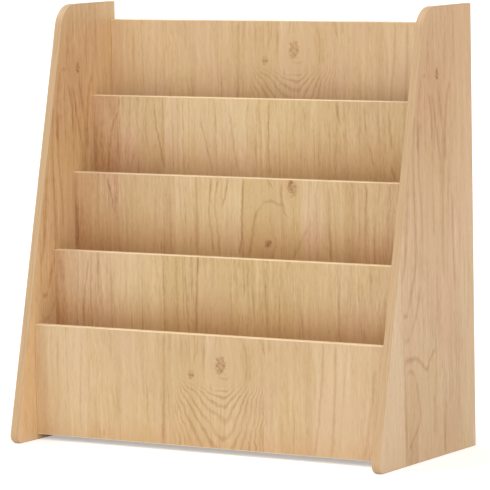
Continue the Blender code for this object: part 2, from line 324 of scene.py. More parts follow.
Print = namedtuple("Print", "figure amber shade")
Amber = namedtuple("Amber", "start end above below")
Figure = namedtuple("Figure", "staves knots lines contrast seed nest", defaults=[None])
Stave = namedtuple("Stave", "end tone rosy golden")
Knot = namedtuple("Knot", "u v half_width half_height dark")
GrainLine = namedtuple("GrainLine", "dark width points")
Nest = namedtuple("Nest", "u v top bottom left_rise right_rise left_end right_end gap widening dark")
Streak = namedtuple("Streak", "width run detail weight roughness", defaults=[0.5])

# Half the span of the prints' curves and ramps, grain lines in one curve node, and the fade at a line's ends
PRINT_SPAN = 320.0
LINES_AT_ONCE = 3
LINE_EASE = 10
EASE_WIDTHS = 1.5

# Staves: blur of their edges on the ramp, and steps by which each gets streaks of its own
STAVE_EASE = 0.004
STAVE_SHIFT = 0.37
STAVE_DEPTH = 40.0

# Streaks of every print, and the sway that they follow, whose weight is its reach. Fibres and pores are drawn
# coarser than real ones, so that they show.
BROAD_BANDS = Streak(24, 420, 1.0, 0.22)
GRAIN_STREAKS = Streak(5.5, 95, 2.0, 0.55)
FIBRES = Streak(2.0, 15, 2.0, 0.42)
THIN_STREAKS = Streak(3.8, 130, 2.0, 0.2)
PORES = Streak(1.3, 11, 1.0, 0.15)
SWAY = Streak(60, 150, 3.0, 12.0, 0.6)

# Limits between which a noise turns dark, and between which a part of the print goes from calm to busy
THIN_LIMITS = (0.58, 0.74)
PORE_LIMITS = (0.57, 0.72)
BUSY_LIMITS = (0.35, 0.65)
BUSY_SHARES = (0.5, 1.5)

# Knots: their flecks, their ragged rim, and the halo in which they push the grain aside and calm the streaks
FLECK_SIZE = 4.2
FLECK_LIMITS = (0.38, 0.64)
FLECK_SHARES = (0.45, 1.0)
KNOT_RIM = (-0.35, 0.4)
KNOT_RAGGED = -1.6
KNOT_HALO = (0.8, 3.0)
KNOT_PUSH = 0.7
KNOT_CALM = 0.3
ENDLESS = 1e6

# Ripple of the drawn lines, and the patches in which the lines of a nest wander and fade
RIPPLE_SIZE = 9
RIPPLE_REACH = 5
PATCH_SIZE = 34
PATCH_REACH = 16
PATCH_LIMITS = (0.3, 0.7)
PATCH_SHARES = (0.45, 1.2)

# Nest: part of a wave that is a line, how much paler the gaps are, and where the lines close up and fade
NEST_LINE = (-0.2, 1.1)
NEST_PALER = -0.15
NEST_CLOSED = 0.03
NEST_SIDE_FADE = (0.08, 0.3)
NEST_START_FADE = (-4.0, 26.0)
NEST_TOP_FADE = 16

# Tones of the print's colours, swing of its tints, and change of its roughness from pale to dark tones
TONES = {"pale": 0.18, "body": 0.5, "grain": 0.76, "knot": 1.0}
TINT_SWING = 2.0
DULL_TONES = (0.2, 1.0)
DULL_CHANGES = (-0.04, 0.14)
MIDDLE = (0.5, 0.5, 0.5)


def painted_left_shadows(strip, corner):
    """Painted shadow where a divider meets the left side panel, and painted shade at its lower left corner.
    """
    return [
        GrainLine(strip, 14.0, [(-289, 2), (-289, -60), (-288, -130)]),
        GrainLine(corner, 34.0, [(-286, -30), (-285, -80), (-283, -125)]),
    ]


# Front and back panel: two knots over a nest of grain lines that point down
KNOT_FIGURE = Figure(
    staves=[
        # Darker next to the left side panel, partly as painted shade from that panel
        Stave(-268, 0.03, 0, 0),
        Stave(-200, -0.06, 0, 0),
        Stave(-78, 0.01, 0, 0.35),
        Stave(172, 0.02, 0, 0.25),
        Stave(262, -0.065, 0, 0),
        Stave(300, 0, 0, 0),
    ],
    knots=[Knot(23, -41, 9.5, 13, 0.34), Knot(-26, -57, 5, 6.5, 0.32)],
    lines=[
        # Shade under the larger knot
        GrainLine(0.13, 3.2, [(18, -56), (28, -59), (39, -57)]),
        # Upright lines beside the knots
        GrainLine(0.08, 3.3, [(-46, -72), (-47, -45), (-44, -12)]),
        GrainLine(0.08, 3.3, [(-25, -44), (-18, -30), (-11, -4)]),
        GrainLine(0.07, 3.0, [(-31, -40), (-33, -4)]),
        GrainLine(0.12, 3.6, [(62, -66), (66, -36), (60, -4)]),
        GrainLine(0.11, 3.3, [(67, -66), (71, -40), (67, -4)]),
        GrainLine(0.12, 3.6, [(95, -26), (91, -3)]),
        GrainLine(0.12, 3.6, [(104, -22), (101, -3)]),
        # Long lines toward the ends of the board
        GrainLine(0.15, 5.1, [(-74, -158), (-71, -90), (-70, 2)]),
        GrainLine(0.08, 3.9, [(-214, -140), (-210, -70), (-206, 2)]),
        GrainLine(0.08, 3.6, [(-150, -130), (-158, -88), (-166, -70)]),
        GrainLine(0.08, 3.6, [(-158, -48), (-158, 2)]),
        GrainLine(0.19, 2.7, [(-173, -153), (-173, -143)]),
        GrainLine(0.15, 3.6, [(172, -158), (182, -80), (188, 2)]),
        GrainLine(0.16, 3.6, [(199, -158), (204, -80), (208, 2)]),
        GrainLine(0.08, 3.6, [(211, -150), (217, -80), (226, 2)]),
        GrainLine(0.12, 4.8, [(250, -156), (260, -90), (268, -30)]),
        GrainLine(0.14, 4.8, [(270, -156), (277, -90), (283, 2)]),
    ],
    contrast=0.5,
    seed=3.0,
    nest=Nest(
        u=28,
        v=-58,
        top=-62,
        bottom=9.0,
        left_rise=0.2,
        right_rise=1.0,
        left_end=91,
        right_end=71,
        gap=5.2,
        widening=0.32,
        dark=0.155,
    ),
)

# First divider: straight streaks between dark lines
STREAK_FIGURE = Figure(
    staves=[
        # Darker next to the left side panel, partly as painted shade from that panel
        Stave(-270, 0.08, 0.6, 0),
        Stave(-188, -0.015, 0.3, 0.2),
        Stave(-103, -0.06, 0, 0.5),
        Stave(6, 0, 0, 0.9),
        Stave(110, 0.02, 0, 1),
        Stave(160, -0.01, 0, 0.7),
        Stave(300, -0.035, 0.1, 0.4),
    ],
    knots=[],
    lines=painted_left_shadows(0.08, 0.06)
    + [
        GrainLine(0.17, 2.9, [(-240, -110), (-238, -68), (-232, -32), (-227, -6)]),
        GrainLine(0.11, 2.6, [(-248, -70), (-246, 2)]),
        GrainLine(0.11, 2.6, [(-212, -40), (-213, 2)]),
        GrainLine(0.11, 2.6, [(-191, -110), (-191, -22)]),
        GrainLine(0.17, 2.1, [(-102, -112), (-102, 2)]),
        GrainLine(0.11, 2.6, [(-80, -112), (-80, -70), (-81, 2)]),
        GrainLine(0.15, 2.9, [(-62, -112), (-64, -60), (-66, -24)]),
        GrainLine(0.18, 3.4, [(-50, -112), (-47, -50), (-43, 2)]),
        GrainLine(0.13, 2.9, [(8, -112), (9, -40), (8, -18)]),
        GrainLine(0.14, 2.6, [(30, -60), (32, 2)]),
        GrainLine(0.14, 2.6, [(37, -40), (38, 2)]),
        GrainLine(0.11, 2.3, [(88, -100), (90, -10)]),
        GrainLine(0.10, 2.3, [(110, -90), (111, 2)]),
        GrainLine(0.11, 2.3, [(182, -112), (181, 2)]),
        GrainLine(0.13, 2.6, [(232, -60), (233, 2)]),
        GrainLine(0.14, 2.9, [(243, -112), (246, 2)]),
    ],
    contrast=0.7,
    seed=11.0,
)

# Second divider: an arch beside a knot, and a smaller knot under it
ARCH_FIGURE = Figure(
    staves=[
        # Darker next to the left side panel, partly as painted shade from that panel
        Stave(-205, 0.085, 0.6, 0.1),
        Stave(-116, 0.04, 0.2, 0.5),
        Stave(0, -0.05, 0.1, 0.5),
        Stave(94, 0.02, 0, 0.9),
        Stave(163, -0.035, 0, 0.5),
        Stave(180, 0.085, 0, 0.6),
        Stave(300, 0.01, 0.1, 0.5),
    ],
    knots=[Knot(79, -11, 8, 13, 0.36), Knot(40, -91, 7, 6, 0.38)],
    lines=painted_left_shadows(0.12, 0.14)
    + [
        GrainLine(0.21, 3.0, [(-51, -112), (-55, -74), (-57, -44), (-51, 2)]),
        GrainLine(0.18, 3.0, [(-42, -114), (-45, -64), (-48, -39), (-39, 2)]),
        GrainLine(0.28, 3.5, [(-37, -46), (-30, -24), (-24, 2)]),
        GrainLine(0.21, 3.0, [(-12, -112), (-6, -94), (-3, -44), (1, 2)]),
        GrainLine(0.18, 4.0, [(7, -114), (13, -82), (18, -56), (25, -43), (31, -36)]),
        GrainLine(0.16, 4.0, [(28, -37), (42, -31), (60, -36), (67, -33)]),
        GrainLine(0.17, 3.4, [(80, -57), (70, -52), (63, -32), (63, -3)]),
        GrainLine(0.17, 3.0, [(36, 2), (43, -7), (50, -16)]),
        GrainLine(0.13, 4.0, [(77, -114), (86, -98), (97, -78), (106, -62)]),
        GrainLine(0.13, 2.4, [(-97, -114), (-97, 2)]),
        GrainLine(0.11, 2.4, [(-77, -114), (-78, 2)]),
        GrainLine(0.20, 3.2, [(-219, -56), (-222, -36), (-230, -4)]),
        GrainLine(0.10, 2.2, [(105, -114), (107, -50)]),
        GrainLine(0.10, 2.2, [(118, -90), (119, 2)]),
        GrainLine(0.10, 2.2, [(140, -114), (139, 2)]),
        GrainLine(0.08, 2.2, [(147, -114), (148, -20)]),
        GrainLine(0.17, 3.2, [(195, -114), (196, -60), (198, 2)]),
        GrainLine(0.11, 3.0, [(209, -114), (211, -40)]),
        GrainLine(0.11, 3.0, [(231, -100), (236, 2)]),
    ],
    contrast=0.6,
    seed=23.0,
)

# Third divider: close fine lines, with a brown stave at each end; the left one is partly painted shade from
# the side panel
FINE_FIGURE = Figure(
    staves=[
        # Darker next to the left side panel, partly as painted shade from that panel
        Stave(-242, 0.1, 0.6, 0),
        Stave(-166, 0.02, 0.2, 0.4),
        Stave(-10, -0.085, 0.1, 0.5),
        Stave(94, -0.055, 0, 0.65),
        Stave(300, 0.035, 0.1, 0.55),
    ],
    knots=[],
    lines=painted_left_shadows(0.12, 0.08)
    + [
        GrainLine(0.17, 3.1, [(-263, -112), (-258, -71), (-252, -41), (-244, -26), (-242, 2)]),
        GrainLine(0.17, 2.6, [(-192, -84), (-198, -24)]),
        GrainLine(0.25, 3.1, [(-167, -100), (-172, -71), (-178, -41), (-180, -14)]),
        GrainLine(0.16, 2.9, [(-226, -108), (-214, -78)]),
        GrainLine(0.20, 1.8, [(-166, -112), (-166, 2)]),
        GrainLine(0.12, 2.1, [(-150, -112), (-150, 2)]),
        GrainLine(0.13, 2.1, [(-142, -112), (-141, 2)]),
        GrainLine(0.13, 2.1, [(-133, -112), (-132, 2)]),
        GrainLine(0.16, 2.1, [(-124, -112), (-121, 2)]),
        GrainLine(0.12, 2.1, [(-113, -112), (-112, -10)]),
        GrainLine(0.22, 2.6, [(-84, -108), (-94, -64), (-104, -30)]),
        GrainLine(0.13, 2.3, [(-77, -112), (-78, -8)]),
        GrainLine(0.20, 2.6, [(-42, -106), (-49, -56), (-53, -20)]),
        GrainLine(0.12, 2.3, [(-27, -112), (-23, 2)]),
        GrainLine(0.13, 2.3, [(-11, -112), (-9, -4)]),
        GrainLine(0.22, 2.6, [(12, -112), (10, -60), (13, 2)]),
        GrainLine(0.12, 2.1, [(28, -112), (28, -20)]),
        GrainLine(0.13, 2.1, [(41, -100), (39, 2)]),
        GrainLine(0.13, 2.1, [(56, -112), (54, -4)]),
        GrainLine(0.10, 2.1, [(70, -100), (70, -10)]),
        GrainLine(0.13, 2.1, [(85, -112), (84, -20)]),
        GrainLine(0.25, 3.1, [(128, -38), (124, -18), (121, 2)]),
        GrainLine(0.17, 2.6, [(181, -96), (173, -56)]),
        GrainLine(0.16, 2.6, [(169, -50), (165, -4)]),
        GrainLine(0.17, 2.6, [(209, -70), (204, -8)]),
        GrainLine(0.26, 2.9, [(213, -112), (209, -88)]),
    ],
    contrast=0.7,
    seed=37.0,
)

# Side panels: long lines under a knot near the top, and hooked lines behind the front stave
SIDE_FIGURE = Figure(
    staves=[
        Stave(-63, -0.095, 0.5, 0),
        Stave(92, 0.01, 0.4, 0),
        Stave(140, -0.03, 0.4, 0),
    ],
    knots=[Knot(37, -92, 5, 8, 0.36)],
    lines=[
        # Broad shaded patches
        GrainLine(0.08, 45.0, [(22, -10), (28, -110), (36, -250)]),
        GrainLine(0.06, 42.0, [(84, -400), (80, -500), (70, -640)]),
        GrainLine(0.07, 24.0, [(-46, -480), (-44, -560), (-50, -640)]),
        # Lines, hooked behind the front stave
        GrainLine(0.15, 5.0, [(-60, -616), (-63, -494), (-68, -360), (-70, -318)]),
        GrainLine(0.15, 5.9, [(-68, -369), (-56, -324), (-52, -284), (-47, -236)]),
        GrainLine(
            0.15,
            5.9,
            [(-50, -406), (-42, -379), (-31, -354), (-28, -314), (-31, -240), (-32, -190), (-27, -140)],
        ),
        GrainLine(0.18, 6.5, [(-67, -408), (-58, -411), (-49, -405)]),
        GrainLine(0.13, 5.5, [(-8, -374), (-9, -300), (-11, -264), (-17, -214), (-14, -150)]),
        GrainLine(0.15, 5.9, [(-44, -436), (-28, -410), (-19, -376)]),
        GrainLine(0.12, 5.9, [(-64, -442), (-55, -445), (-42, -435)]),
        GrainLine(
            0.18,
            6.5,
            [(-66, -473), (-50, -471), (-26, -473), (-12, -483), (-1, -489), (10, -474), (26, -463)],
        ),
        GrainLine(0.15, 5.9, [(-61, -500), (-52, -487), (-42, -489), (-30, -500)]),
        GrainLine(0.13, 5.5, [(-58, -600), (-42, -580), (-28, -566), (-22, -554), (-26, -524), (-31, -497)]),
        GrainLine(0.12, 5.0, [(23, -314), (22, -214), (20, -154), (11, -112)]),
        GrainLine(0.12, 5.0, [(50, -374), (48, -314), (45, -214), (35, -174), (22, -114)]),
        GrainLine(0.12, 5.0, [(50, -160), (39, -112)]),
        GrainLine(0.19, 5.9, [(57, -214), (57, -174), (62, -134), (71, -102)]),
        GrainLine(0.12, 5.5, [(-18, -196), (-15, -124), (-6, -94)]),
        GrainLine(0.12, 5.0, [(-9, -102), (0, -91), (9, -100)]),
        GrainLine(0.12, 5.5, [(83, -392), (77, -324), (75, -252)]),
        GrainLine(0.10, 5.0, [(30, -436), (30, -332)]),
        GrainLine(0.12, 5.9, [(47, -616), (51, -492)]),
        GrainLine(0.11, 5.5, [(18, -586), (20, -522)]),
    ],
    contrast=0.55,
    seed=51.0,
)

# Left side panel: the same print, deeper and more golden; the golden tint is painted warm bounce light
LEFT_FIGURE_PAINTED_WARM = SIDE_FIGURE._replace(
    staves=[stave._replace(rosy=0.5, golden=0.6) for stave in SIDE_FIGURE.staves],
    lines=[line._replace(dark=1.35 * line.dark) for line in SIDE_FIGURE.lines],
    contrast=0.8,
)

# Pocket floors: quiet straight grain
PLAIN_FIGURE = Figure(staves=[Stave(40, 0.04, 0, 0.6)], knots=[], lines=[], contrast=0.7, seed=67.0)

# Prints of the boards. The amber tint's share goes from above to below between the heights start and end, and
# shade is added to the darkness of the whole print. The amber tint is painted shade at the foot of the
# uprights, low in their pockets and under the front panel; the back panel also takes it as a tint all over.
UPRIGHT_PRINTS = [
    Print(KNOT_FIGURE, Amber(-118, -158, 0.0, 0.4), 0.0),
    Print(STREAK_FIGURE, Amber(-42, -102, 0.0, 1.0), -0.01),
    Print(ARCH_FIGURE, Amber(-36, -107, 0.0, 0.95), -0.015),
    Print(FINE_FIGURE, Amber(-30, -107, 0.0, 0.8), -0.045),
    Print(KNOT_FIGURE._replace(contrast=0.62), Amber(-42, -107, 0.4, 0.5), -0.115),
]
SIDE_PRINTS = {
    # Left side: an even amber tint that is painted warm bounce light, with the print made paler to balance
    # it; right side: an amber tint of the print toward the top
    "side_panel_left": Print(LEFT_FIGURE_PAINTED_WARM, Amber(-80, -450, 0.5, 0.45), -0.125),
    "side_panel_right": Print(SIDE_FIGURE, Amber(-80, -450, 0.6, 0.0), -0.015),
}
FLOOR_PRINT = Print(PLAIN_FIGURE, Amber(-1, 1, 0.2, 0.2), 0.0)


def spread(u):
    """Place across a print on the scale of its ramps, from 0 to 1."""
    return 0.5 + 0.5 * u / PRINT_SPAN


def runs_across(line):
    """Whether a grain line runs more across the board than up it."""
    us = [p[0] for p in line.points]
    vs = [p[1] for p in line.points]
    return max(us) - min(us) > max(vs) - min(vs)


def streak_noise(tree, place, streak):
    """Noise drawn out along the board to the size of a streak."""
    scaled = add(tree, MAPPING, {0: place, 3: (1 / streak.width, 1 / streak.run, 1)})
    finer = {"Scale": 1.0, "Detail": streak.detail, "Roughness": streak.roughness}
    return add(tree, NOISE, {0: scaled, **finer})


def wander(tree, place, noise, reach):
    """Place on the print, moved to and fro by a noise's colour."""
    moved = add(tree, VECTOR_MATH, [noise, MIDDLE], operation="SUBTRACT")
    return add(tree, VECTOR_MATH, [moved, (reach, reach, 0), place], operation="MULTIPLY_ADD")


def stave_looks(tree, figure, u):
    """Tone, rosy and golden tint of the staves, and a shift that gives each stave streaks of its own."""
    spot = add(tree, MATH, [u, 0.5 / PRINT_SPAN, 0.5], operation="MULTIPLY_ADD")
    tones = []
    shifts = []
    start = 0.0
    for number, stave in enumerate(figure.staves):
        end = spread(stave.end)
        looks = (0.5 + stave.tone, stave.rosy, stave.golden)
        tones += [(start + STAVE_EASE, looks), (end - STAVE_EASE, looks)]
        shifts.append((start, (STAVE_SHIFT * number % 1.0, 0.0, 0.0)))
        start = end
    bands = add(tree, RAMP, [spot])
    set_stops(bands, tones)
    steps = add(tree, RAMP, [spot])
    set_stops(steps, shifts, "CONSTANT")
    step = add(tree, SEPARATE_COLOUR, [steps])
    shift = add(tree, MATH, [step, STAVE_DEPTH, figure.seed], operation="MULTIPLY_ADD")
    return add(tree, SEPARATE_COLOUR, [bands]), shift


def draw_knots(tree, knots, point):
    """Knots as clusters of dark flecks that push the grain aside and calm the streaks near them.

    Gives the place on the pushed grain, the darkness of the knots, and the calm.
    """
    total_dark = 0.0
    calm = 0.0
    for knot in knots:
        extent = (knot.half_width, knot.half_height, ENDLESS)
        local = add(tree, MAPPING, {0: point, 1: (knot.u, knot.v, 0), 3: extent}, vector_type="TEXTURE")
        reach = add(tree, VECTOR_MATH, [local], operation="LENGTH")
        flecks = add(tree, NOISE, {0: point, "Scale": 1 / FLECK_SIZE, "Detail": 3.0, "Roughness": 0.62})
        fleck = add(tree, MAP_RANGE, [flecks, *FLECK_LIMITS, *FLECK_SHARES], **SMOOTH)
        ragged = add(tree, MATH, [flecks, KNOT_RAGGED, reach], operation="MULTIPLY_ADD")
        inside = add(tree, MAP_RANGE, [ragged, *KNOT_RIM, knot.dark, 0.0], **SMOOTH)
        dark = add(tree, MATH, [fleck, inside], operation="MULTIPLY")
        total_dark = add(tree, MATH, [total_dark, dark], operation="MAXIMUM")
        halo = add(tree, MAP_RANGE, [reach, *KNOT_HALO, 1.0, 0.0], **SMOOTH)
        calm = add(tree, MATH, [calm, halo], operation="MAXIMUM")
        pull = add(tree, VECTOR_MATH, {0: local, 3: halo}, operation="SCALE")
        aside = (-KNOT_PUSH * knot.half_width, 0, 0)
        point = add(tree, VECTOR_MATH, [pull, aside, point], operation="MULTIPLY_ADD")
    return point, total_dark, calm


def draw_streaks(tree, contrast, point):
    """Tone of the broad bands, grain streaks and fibres, with thin dark streaks, sparse and broken."""
    streaks = (BROAD_BANDS, GRAIN_STREAKS, FIBRES)
    mixed = add(tree, COMBINE, [streak_noise(tree, point, streak) for streak in streaks])
    centred = add(tree, VECTOR_MATH, [mixed, MIDDLE], operation="SUBTRACT")
    weights = [contrast * streak.weight for streak in streaks]
    tone = add(tree, VECTOR_MATH, [centred, weights], operation="DOT_PRODUCT")
    thin = streak_noise(tree, point, THIN_STREAKS)
    dark = add(tree, MAP_RANGE, [thin, *THIN_LIMITS, 0.0, THIN_STREAKS.weight * contrast], **SMOOTH)
    return add(tree, MATH, [tone, dark], operation="ADD")


def draw_lines(tree, lines, across, u, v):
    """Darkness of up to three grain lines at once, one on each channel of a vector.

    The lines follow u if they run across the print, else v, and the other coordinate is looked up on a curve.
    """
    follow, measure = (u, v) if across else (v, u)
    course = add(tree, "ShaderNodeVectorCurve", {1: follow})
    strength = add(tree, "ShaderNodeVectorCurve", {1: follow})
    widths = [1.0] * LINES_AT_ONCE
    for channel in range(LINES_AT_ONCE):
        path = [(-1, 0), (1, 0)]
        fade = path
        if channel < len(lines):
            line = lines[channel]
            places = [(p[0] / PRINT_SPAN, p[1] / PRINT_SPAN + 1) for p in line.points]
            path = sorted(place if across else place[::-1] for place in places)
            start, end = path[0][0], path[-1][0]
            # A line fades in and out, each over no more than a third of its run
            ease = min(max(LINE_EASE, EASE_WIDTHS * line.width) / PRINT_SPAN, (end - start) / 3)
            fade = [(start, 0), (start + ease, line.dark), (end - ease, line.dark), (end, 0)]
            widths[channel] = line.width / PRINT_SPAN
        set_curve(course.mapping.curves[channel], path)
        set_curve(strength.mapping.curves[channel], fade, "VECTOR")
    for node in (course, strength):
        node.mapping.extend = "HORIZONTAL"
        node.mapping.update()
    miss = add(tree, VECTOR_MATH, [measure, course], operation="SUBTRACT")
    gap = add(tree, VECTOR_MATH, [miss], operation="ABSOLUTE")
    ranges = {6: gap, 7: (0, 0, 0), 8: widths, 9: (1, 1, 1), 10: (0, 0, 0)}
    stroke = add(tree, MAP_RANGE, ranges, data_type="FLOAT_VECTOR", **SMOOTH)
    return add(tree, VECTOR_MATH, [stroke, strength], operation="DOT_PRODUCT")


def draw_nest(tree, nest, place):
    """Darkness of a nest of grain lines that point down under a knot.

    Each line falls from both sides to a round bottom under the knot. The arms of the lower lines are steeper,
    and all of them close up toward an upright line at each side of the nest. They wander and fade in patches.
    """
    patches = add(tree, NOISE, {0: place, "Scale": 1 / PATCH_SIZE, "Detail": 1.0}).outputs["Color"]
    patch = add(tree, SEPARATE_COLOUR, [patches])
    fade = add(tree, MAP_RANGE, [patch.outputs[2], *PATCH_LIMITS, *PATCH_SHARES])
    wandered = add(tree, SEPARATE, [wander(tree, place, patches, PATCH_REACH)])
    u, v = wandered.outputs[0], wandered.outputs[1]

    # How far a place lies aside, and how deep in the nest the line through it bottoms out
    off = add(tree, MATH, [u, nest.u], operation="SUBTRACT")
    squared = add(tree, MATH, [off, off, nest.bottom**2], operation="MULTIPLY_ADD")
    root = add(tree, MATH, [squared], operation="SQRT")
    aside = add(tree, MATH, [root, nest.bottom], operation="SUBTRACT")
    on_right = add(tree, MATH, [off, 0.0], operation="GREATER_THAN")
    rise = add(tree, MAP_RANGE, {0: on_right, 3: nest.left_rise, 4: nest.right_rise})
    pinch = add(tree, MAP_RANGE, {0: on_right, 3: -1 / nest.left_end, 4: -1 / nest.right_end})
    drop = add(tree, MATH, [nest.v, v], operation="SUBTRACT")
    lowered = add(tree, MATH, [rise, aside, drop], operation="MULTIPLY_ADD")
    narrow = add(tree, MATH, [pinch, aside, 1.0], operation="MULTIPLY_ADD")
    open_share = add(tree, MATH, [narrow, NEST_CLOSED], operation="MAXIMUM")
    depth = add(tree, MATH, [lowered, open_share], operation="DIVIDE")
    below = add(tree, MATH, [depth, 0.0], operation="MAXIMUM")

    # Lines are one gap apart at the top of the nest, and further down at a share of their depth
    scaled = add(tree, MATH, [below, nest.widening / nest.gap], operation="MULTIPLY")
    one_more = add(tree, MATH, [scaled, scaled, 1.0], operation="MULTIPLY_ADD")
    slant = add(tree, MATH, [one_more], operation="SQRT")
    both = add(tree, MATH, [scaled, slant], operation="ADD")
    number = add(tree, MATH, [both, math.e], operation="LOGARITHM")
    swing = add(tree, MATH, [number, math.tau / nest.widening], operation="MULTIPLY")
    wave = add(tree, MATH, [swing], operation="SINE")
    dark = add(tree, MAP_RANGE, [wave, *NEST_LINE, NEST_PALER * nest.dark, nest.dark], **SMOOTH)

    # The nest ends at its sides and at its top
    inside = add(tree, MAP_RANGE, [open_share, *NEST_SIDE_FADE], **SMOOTH)
    started = add(tree, MAP_RANGE, [depth, *NEST_START_FADE], **SMOOTH)
    under = add(tree, MAP_RANGE, [v, nest.top - NEST_TOP_FADE, nest.top, 1.0, 0.0])
    for share in (inside, under, started, fade):
        dark = add(tree, MATH, [dark, share], operation="MULTIPLY")
    return dark


def draw_figure(tree, figure, point, flat):
    """Darkness of the drawn grain lines and of the nest, all with a small ripple."""
    ripple = add(tree, NOISE, {0: point, "Scale": 1 / RIPPLE_SIZE, "Detail": 2.0}).outputs["Color"]
    rippled = wander(tree, flat, ripple, RIPPLE_REACH)
    on_curve = [rippled, (1 / PRINT_SPAN, 1 / PRINT_SPAN, 0), (0, 1, 0)]
    place = add(tree, SEPARATE, [add(tree, VECTOR_MATH, on_curve, operation="MULTIPLY_ADD")])
    strokes = []
    for across in (False, True):
        lines = [line for line in figure.lines if runs_across(line) == across]
        for first in range(0, len(lines), LINES_AT_ONCE):
            group = lines[first : first + LINES_AT_ONCE]
            strokes.append(draw_lines(tree, group, across, place.outputs[0], place.outputs[1]))
    if figure.nest:
        strokes.append(draw_nest(tree, figure.nest, rippled))
    dark = 0.0
    for stroke in strokes:
        dark = add(tree, MATH, [dark, stroke], operation="ADD")
    return dark


# Materials


def oak_foil(name, look, across="X", along="Z", top=0.0):
    """Light oak printed on paper foil, pressed on board and sealed satin.

    The eye sees planked staves of unlike tone, soft broken streaks, thin brown grain lines that bend round
    the knots, and short pores that stand a little lower than the sealed surface.
    """
    foil = bpy.context.scene.shelf_foil
    figure, amber, shade = look
    material, tree, shader = new_material(name)
    place = add(tree, SEPARATE, [add(tree, COORDINATES).outputs["Object"]])
    u = add(tree, MATH, [place.outputs[across], PER_METRE], operation="MULTIPLY")
    v = add(tree, MATH, [place.outputs[along], PER_METRE, -top * PER_METRE], operation="MULTIPLY_ADD")
    looks, shift = stave_looks(tree, figure, u)
    flow = add(tree, COMBINE, [u, v, shift])
    point, knot_dark, calm = draw_knots(tree, figure.knots, flow)

    # Every streak wanders a few millimetres on its way up the board, and some parts are busier than others
    drift = add(tree, SEPARATE_COLOUR, [streak_noise(tree, point, SWAY).outputs["Color"]])
    sway = add(tree, MATH, [drift, SWAY.weight, -0.5 * SWAY.weight], operation="MULTIPLY_ADD")
    swayed = add(tree, VECTOR_MATH, [point, add(tree, COMBINE, [sway])], operation="ADD")
    streaks = draw_streaks(tree, figure.contrast, swayed)
    busy = add(tree, MAP_RANGE, [drift.outputs[1], *BUSY_LIMITS, *BUSY_SHARES])
    tone = add(tree, MATH, [streaks, busy], operation="MULTIPLY")
    quiet = add(tree, MAP_RANGE, {0: calm, 3: 1.0, 4: KNOT_CALM})
    tone = add(tree, MATH, [tone, quiet, knot_dark], operation="MULTIPLY_ADD")
    if figure.lines:
        drawn = draw_figure(tree, figure, point, add(tree, COMBINE, [u, v]))
        tone = add(tree, MATH, [tone, drawn], operation="ADD")
    pores = streak_noise(tree, swayed, PORES)
    pore_weight = PORES.weight * figure.contrast
    pore_dark = add(tree, MAP_RANGE, [pores, *PORE_LIMITS, 0.0, pore_weight], **SMOOTH)
    tone = add(tree, MATH, [tone, pore_dark], operation="ADD")

    # Tone to colour, with the rosy and golden parts tinted, and the amber tint, which is partly painted shade
    shaded = add(tree, MATH, [looks.outputs[0], shade], operation="ADD")
    total = add(tree, MATH, [tone, shaded], operation="ADD")
    coloured = add(tree, RAMP, [total])
    set_stops(coloured, [(stop, getattr(foil, part)) for part, stop in TONES.items()])
    shares = []
    for channel, swing in ((1, TINT_SWING), (2, -TINT_SWING)):
        change = add(tree, MATH, [drift.outputs[2], swing, -0.5 * swing], operation="MULTIPLY_ADD")
        shares.append(add(tree, MATH, [looks.outputs[channel], change], operation="ADD"))
    # Share of the amber tint by height: painted shade toward the foot of the uprights, partly a tint of the
    # print
    tint_and_painted_shade_range = [v, amber.start, amber.end, amber.above, amber.below]
    shares.append(add(tree, MAP_RANGE, tint_and_painted_shade_range, **SMOOTH))
    for share, tint in zip(shares, (foil.rosy, foil.golden, foil.amber)):
        coloured = add(tree, MIX, {0: share, 6: coloured, 7: (*tint, 1.0)}, **TINTED)

    # Satin seal: pores and grain lines are a little lower and duller
    finish = [foil.roughness + change for change in DULL_CHANGES]
    dull = add(tree, MAP_RANGE, [total, *DULL_TONES, *finish])
    relief = add(tree, BUMP, {"Strength": 0.25, "Distance": 0.12 * MM, "Height": total}, invert=True)
    connect(tree, shader, {"Base Color": coloured, "Roughness": dull, "Normal": relief})
    return material


# Other finishes: sizes of their patterns in millimetres, and shares of their tone at the stops of a ramp
BAND_STREAK = (1.6, 60)
BAND_SHADES = [(0.3, 1.06), (0.5, 1.0), (0.72, 0.82)]
BAND_DULLER = 0.1
CHIP_SIZE = 2.2
BEECH_FLECK = (9, 0.7, 0.7)
METAL_SHADES = [(0.3, 0.72), (0.62, 1.0)]
MOTTLE_LIMITS = (0.3, 0.7)


def shades_of(tone, shades):
    """Stops of a ramp through shares of one tone."""
    return [(stop, [share * channel for channel in tone]) for stop, share in shades]


def edge_band(name, across, tone):
    """Paper edge band in the foil's oak, ironed on the narrow faces.

    The eye sees a quieter strip than the broad faces, with faint streaks 1.6 mm wide and 60 mm long.
    """
    roughness = bpy.context.scene.shelf_foil.roughness
    material, tree, shader = new_material(name)
    width, run = BAND_STREAK
    fine = [PER_METRE / (width if axis == across else run) for axis in "XYZ"]
    place = add(tree, MAPPING, {0: add(tree, COORDINATES).outputs["Object"], 3: fine})
    streaks = add(tree, NOISE, {0: place, "Scale": 1.0, "Detail": 3.0, "Roughness": 0.6})
    shade = add(tree, RAMP, [streaks])
    set_stops(shade, shades_of(tone, BAND_SHADES))
    dull = add(tree, MAP_RANGE, [streaks, *MOTTLE_LIMITS, roughness, roughness + BAND_DULLER])
    relief = add(tree, BUMP, {"Strength": 0.2, "Distance": 0.1 * MM, "Height": streaks}, invert=True)
    connect(tree, shader, {"Base Color": shade, "Roughness": dull, "Normal": relief})
    return material


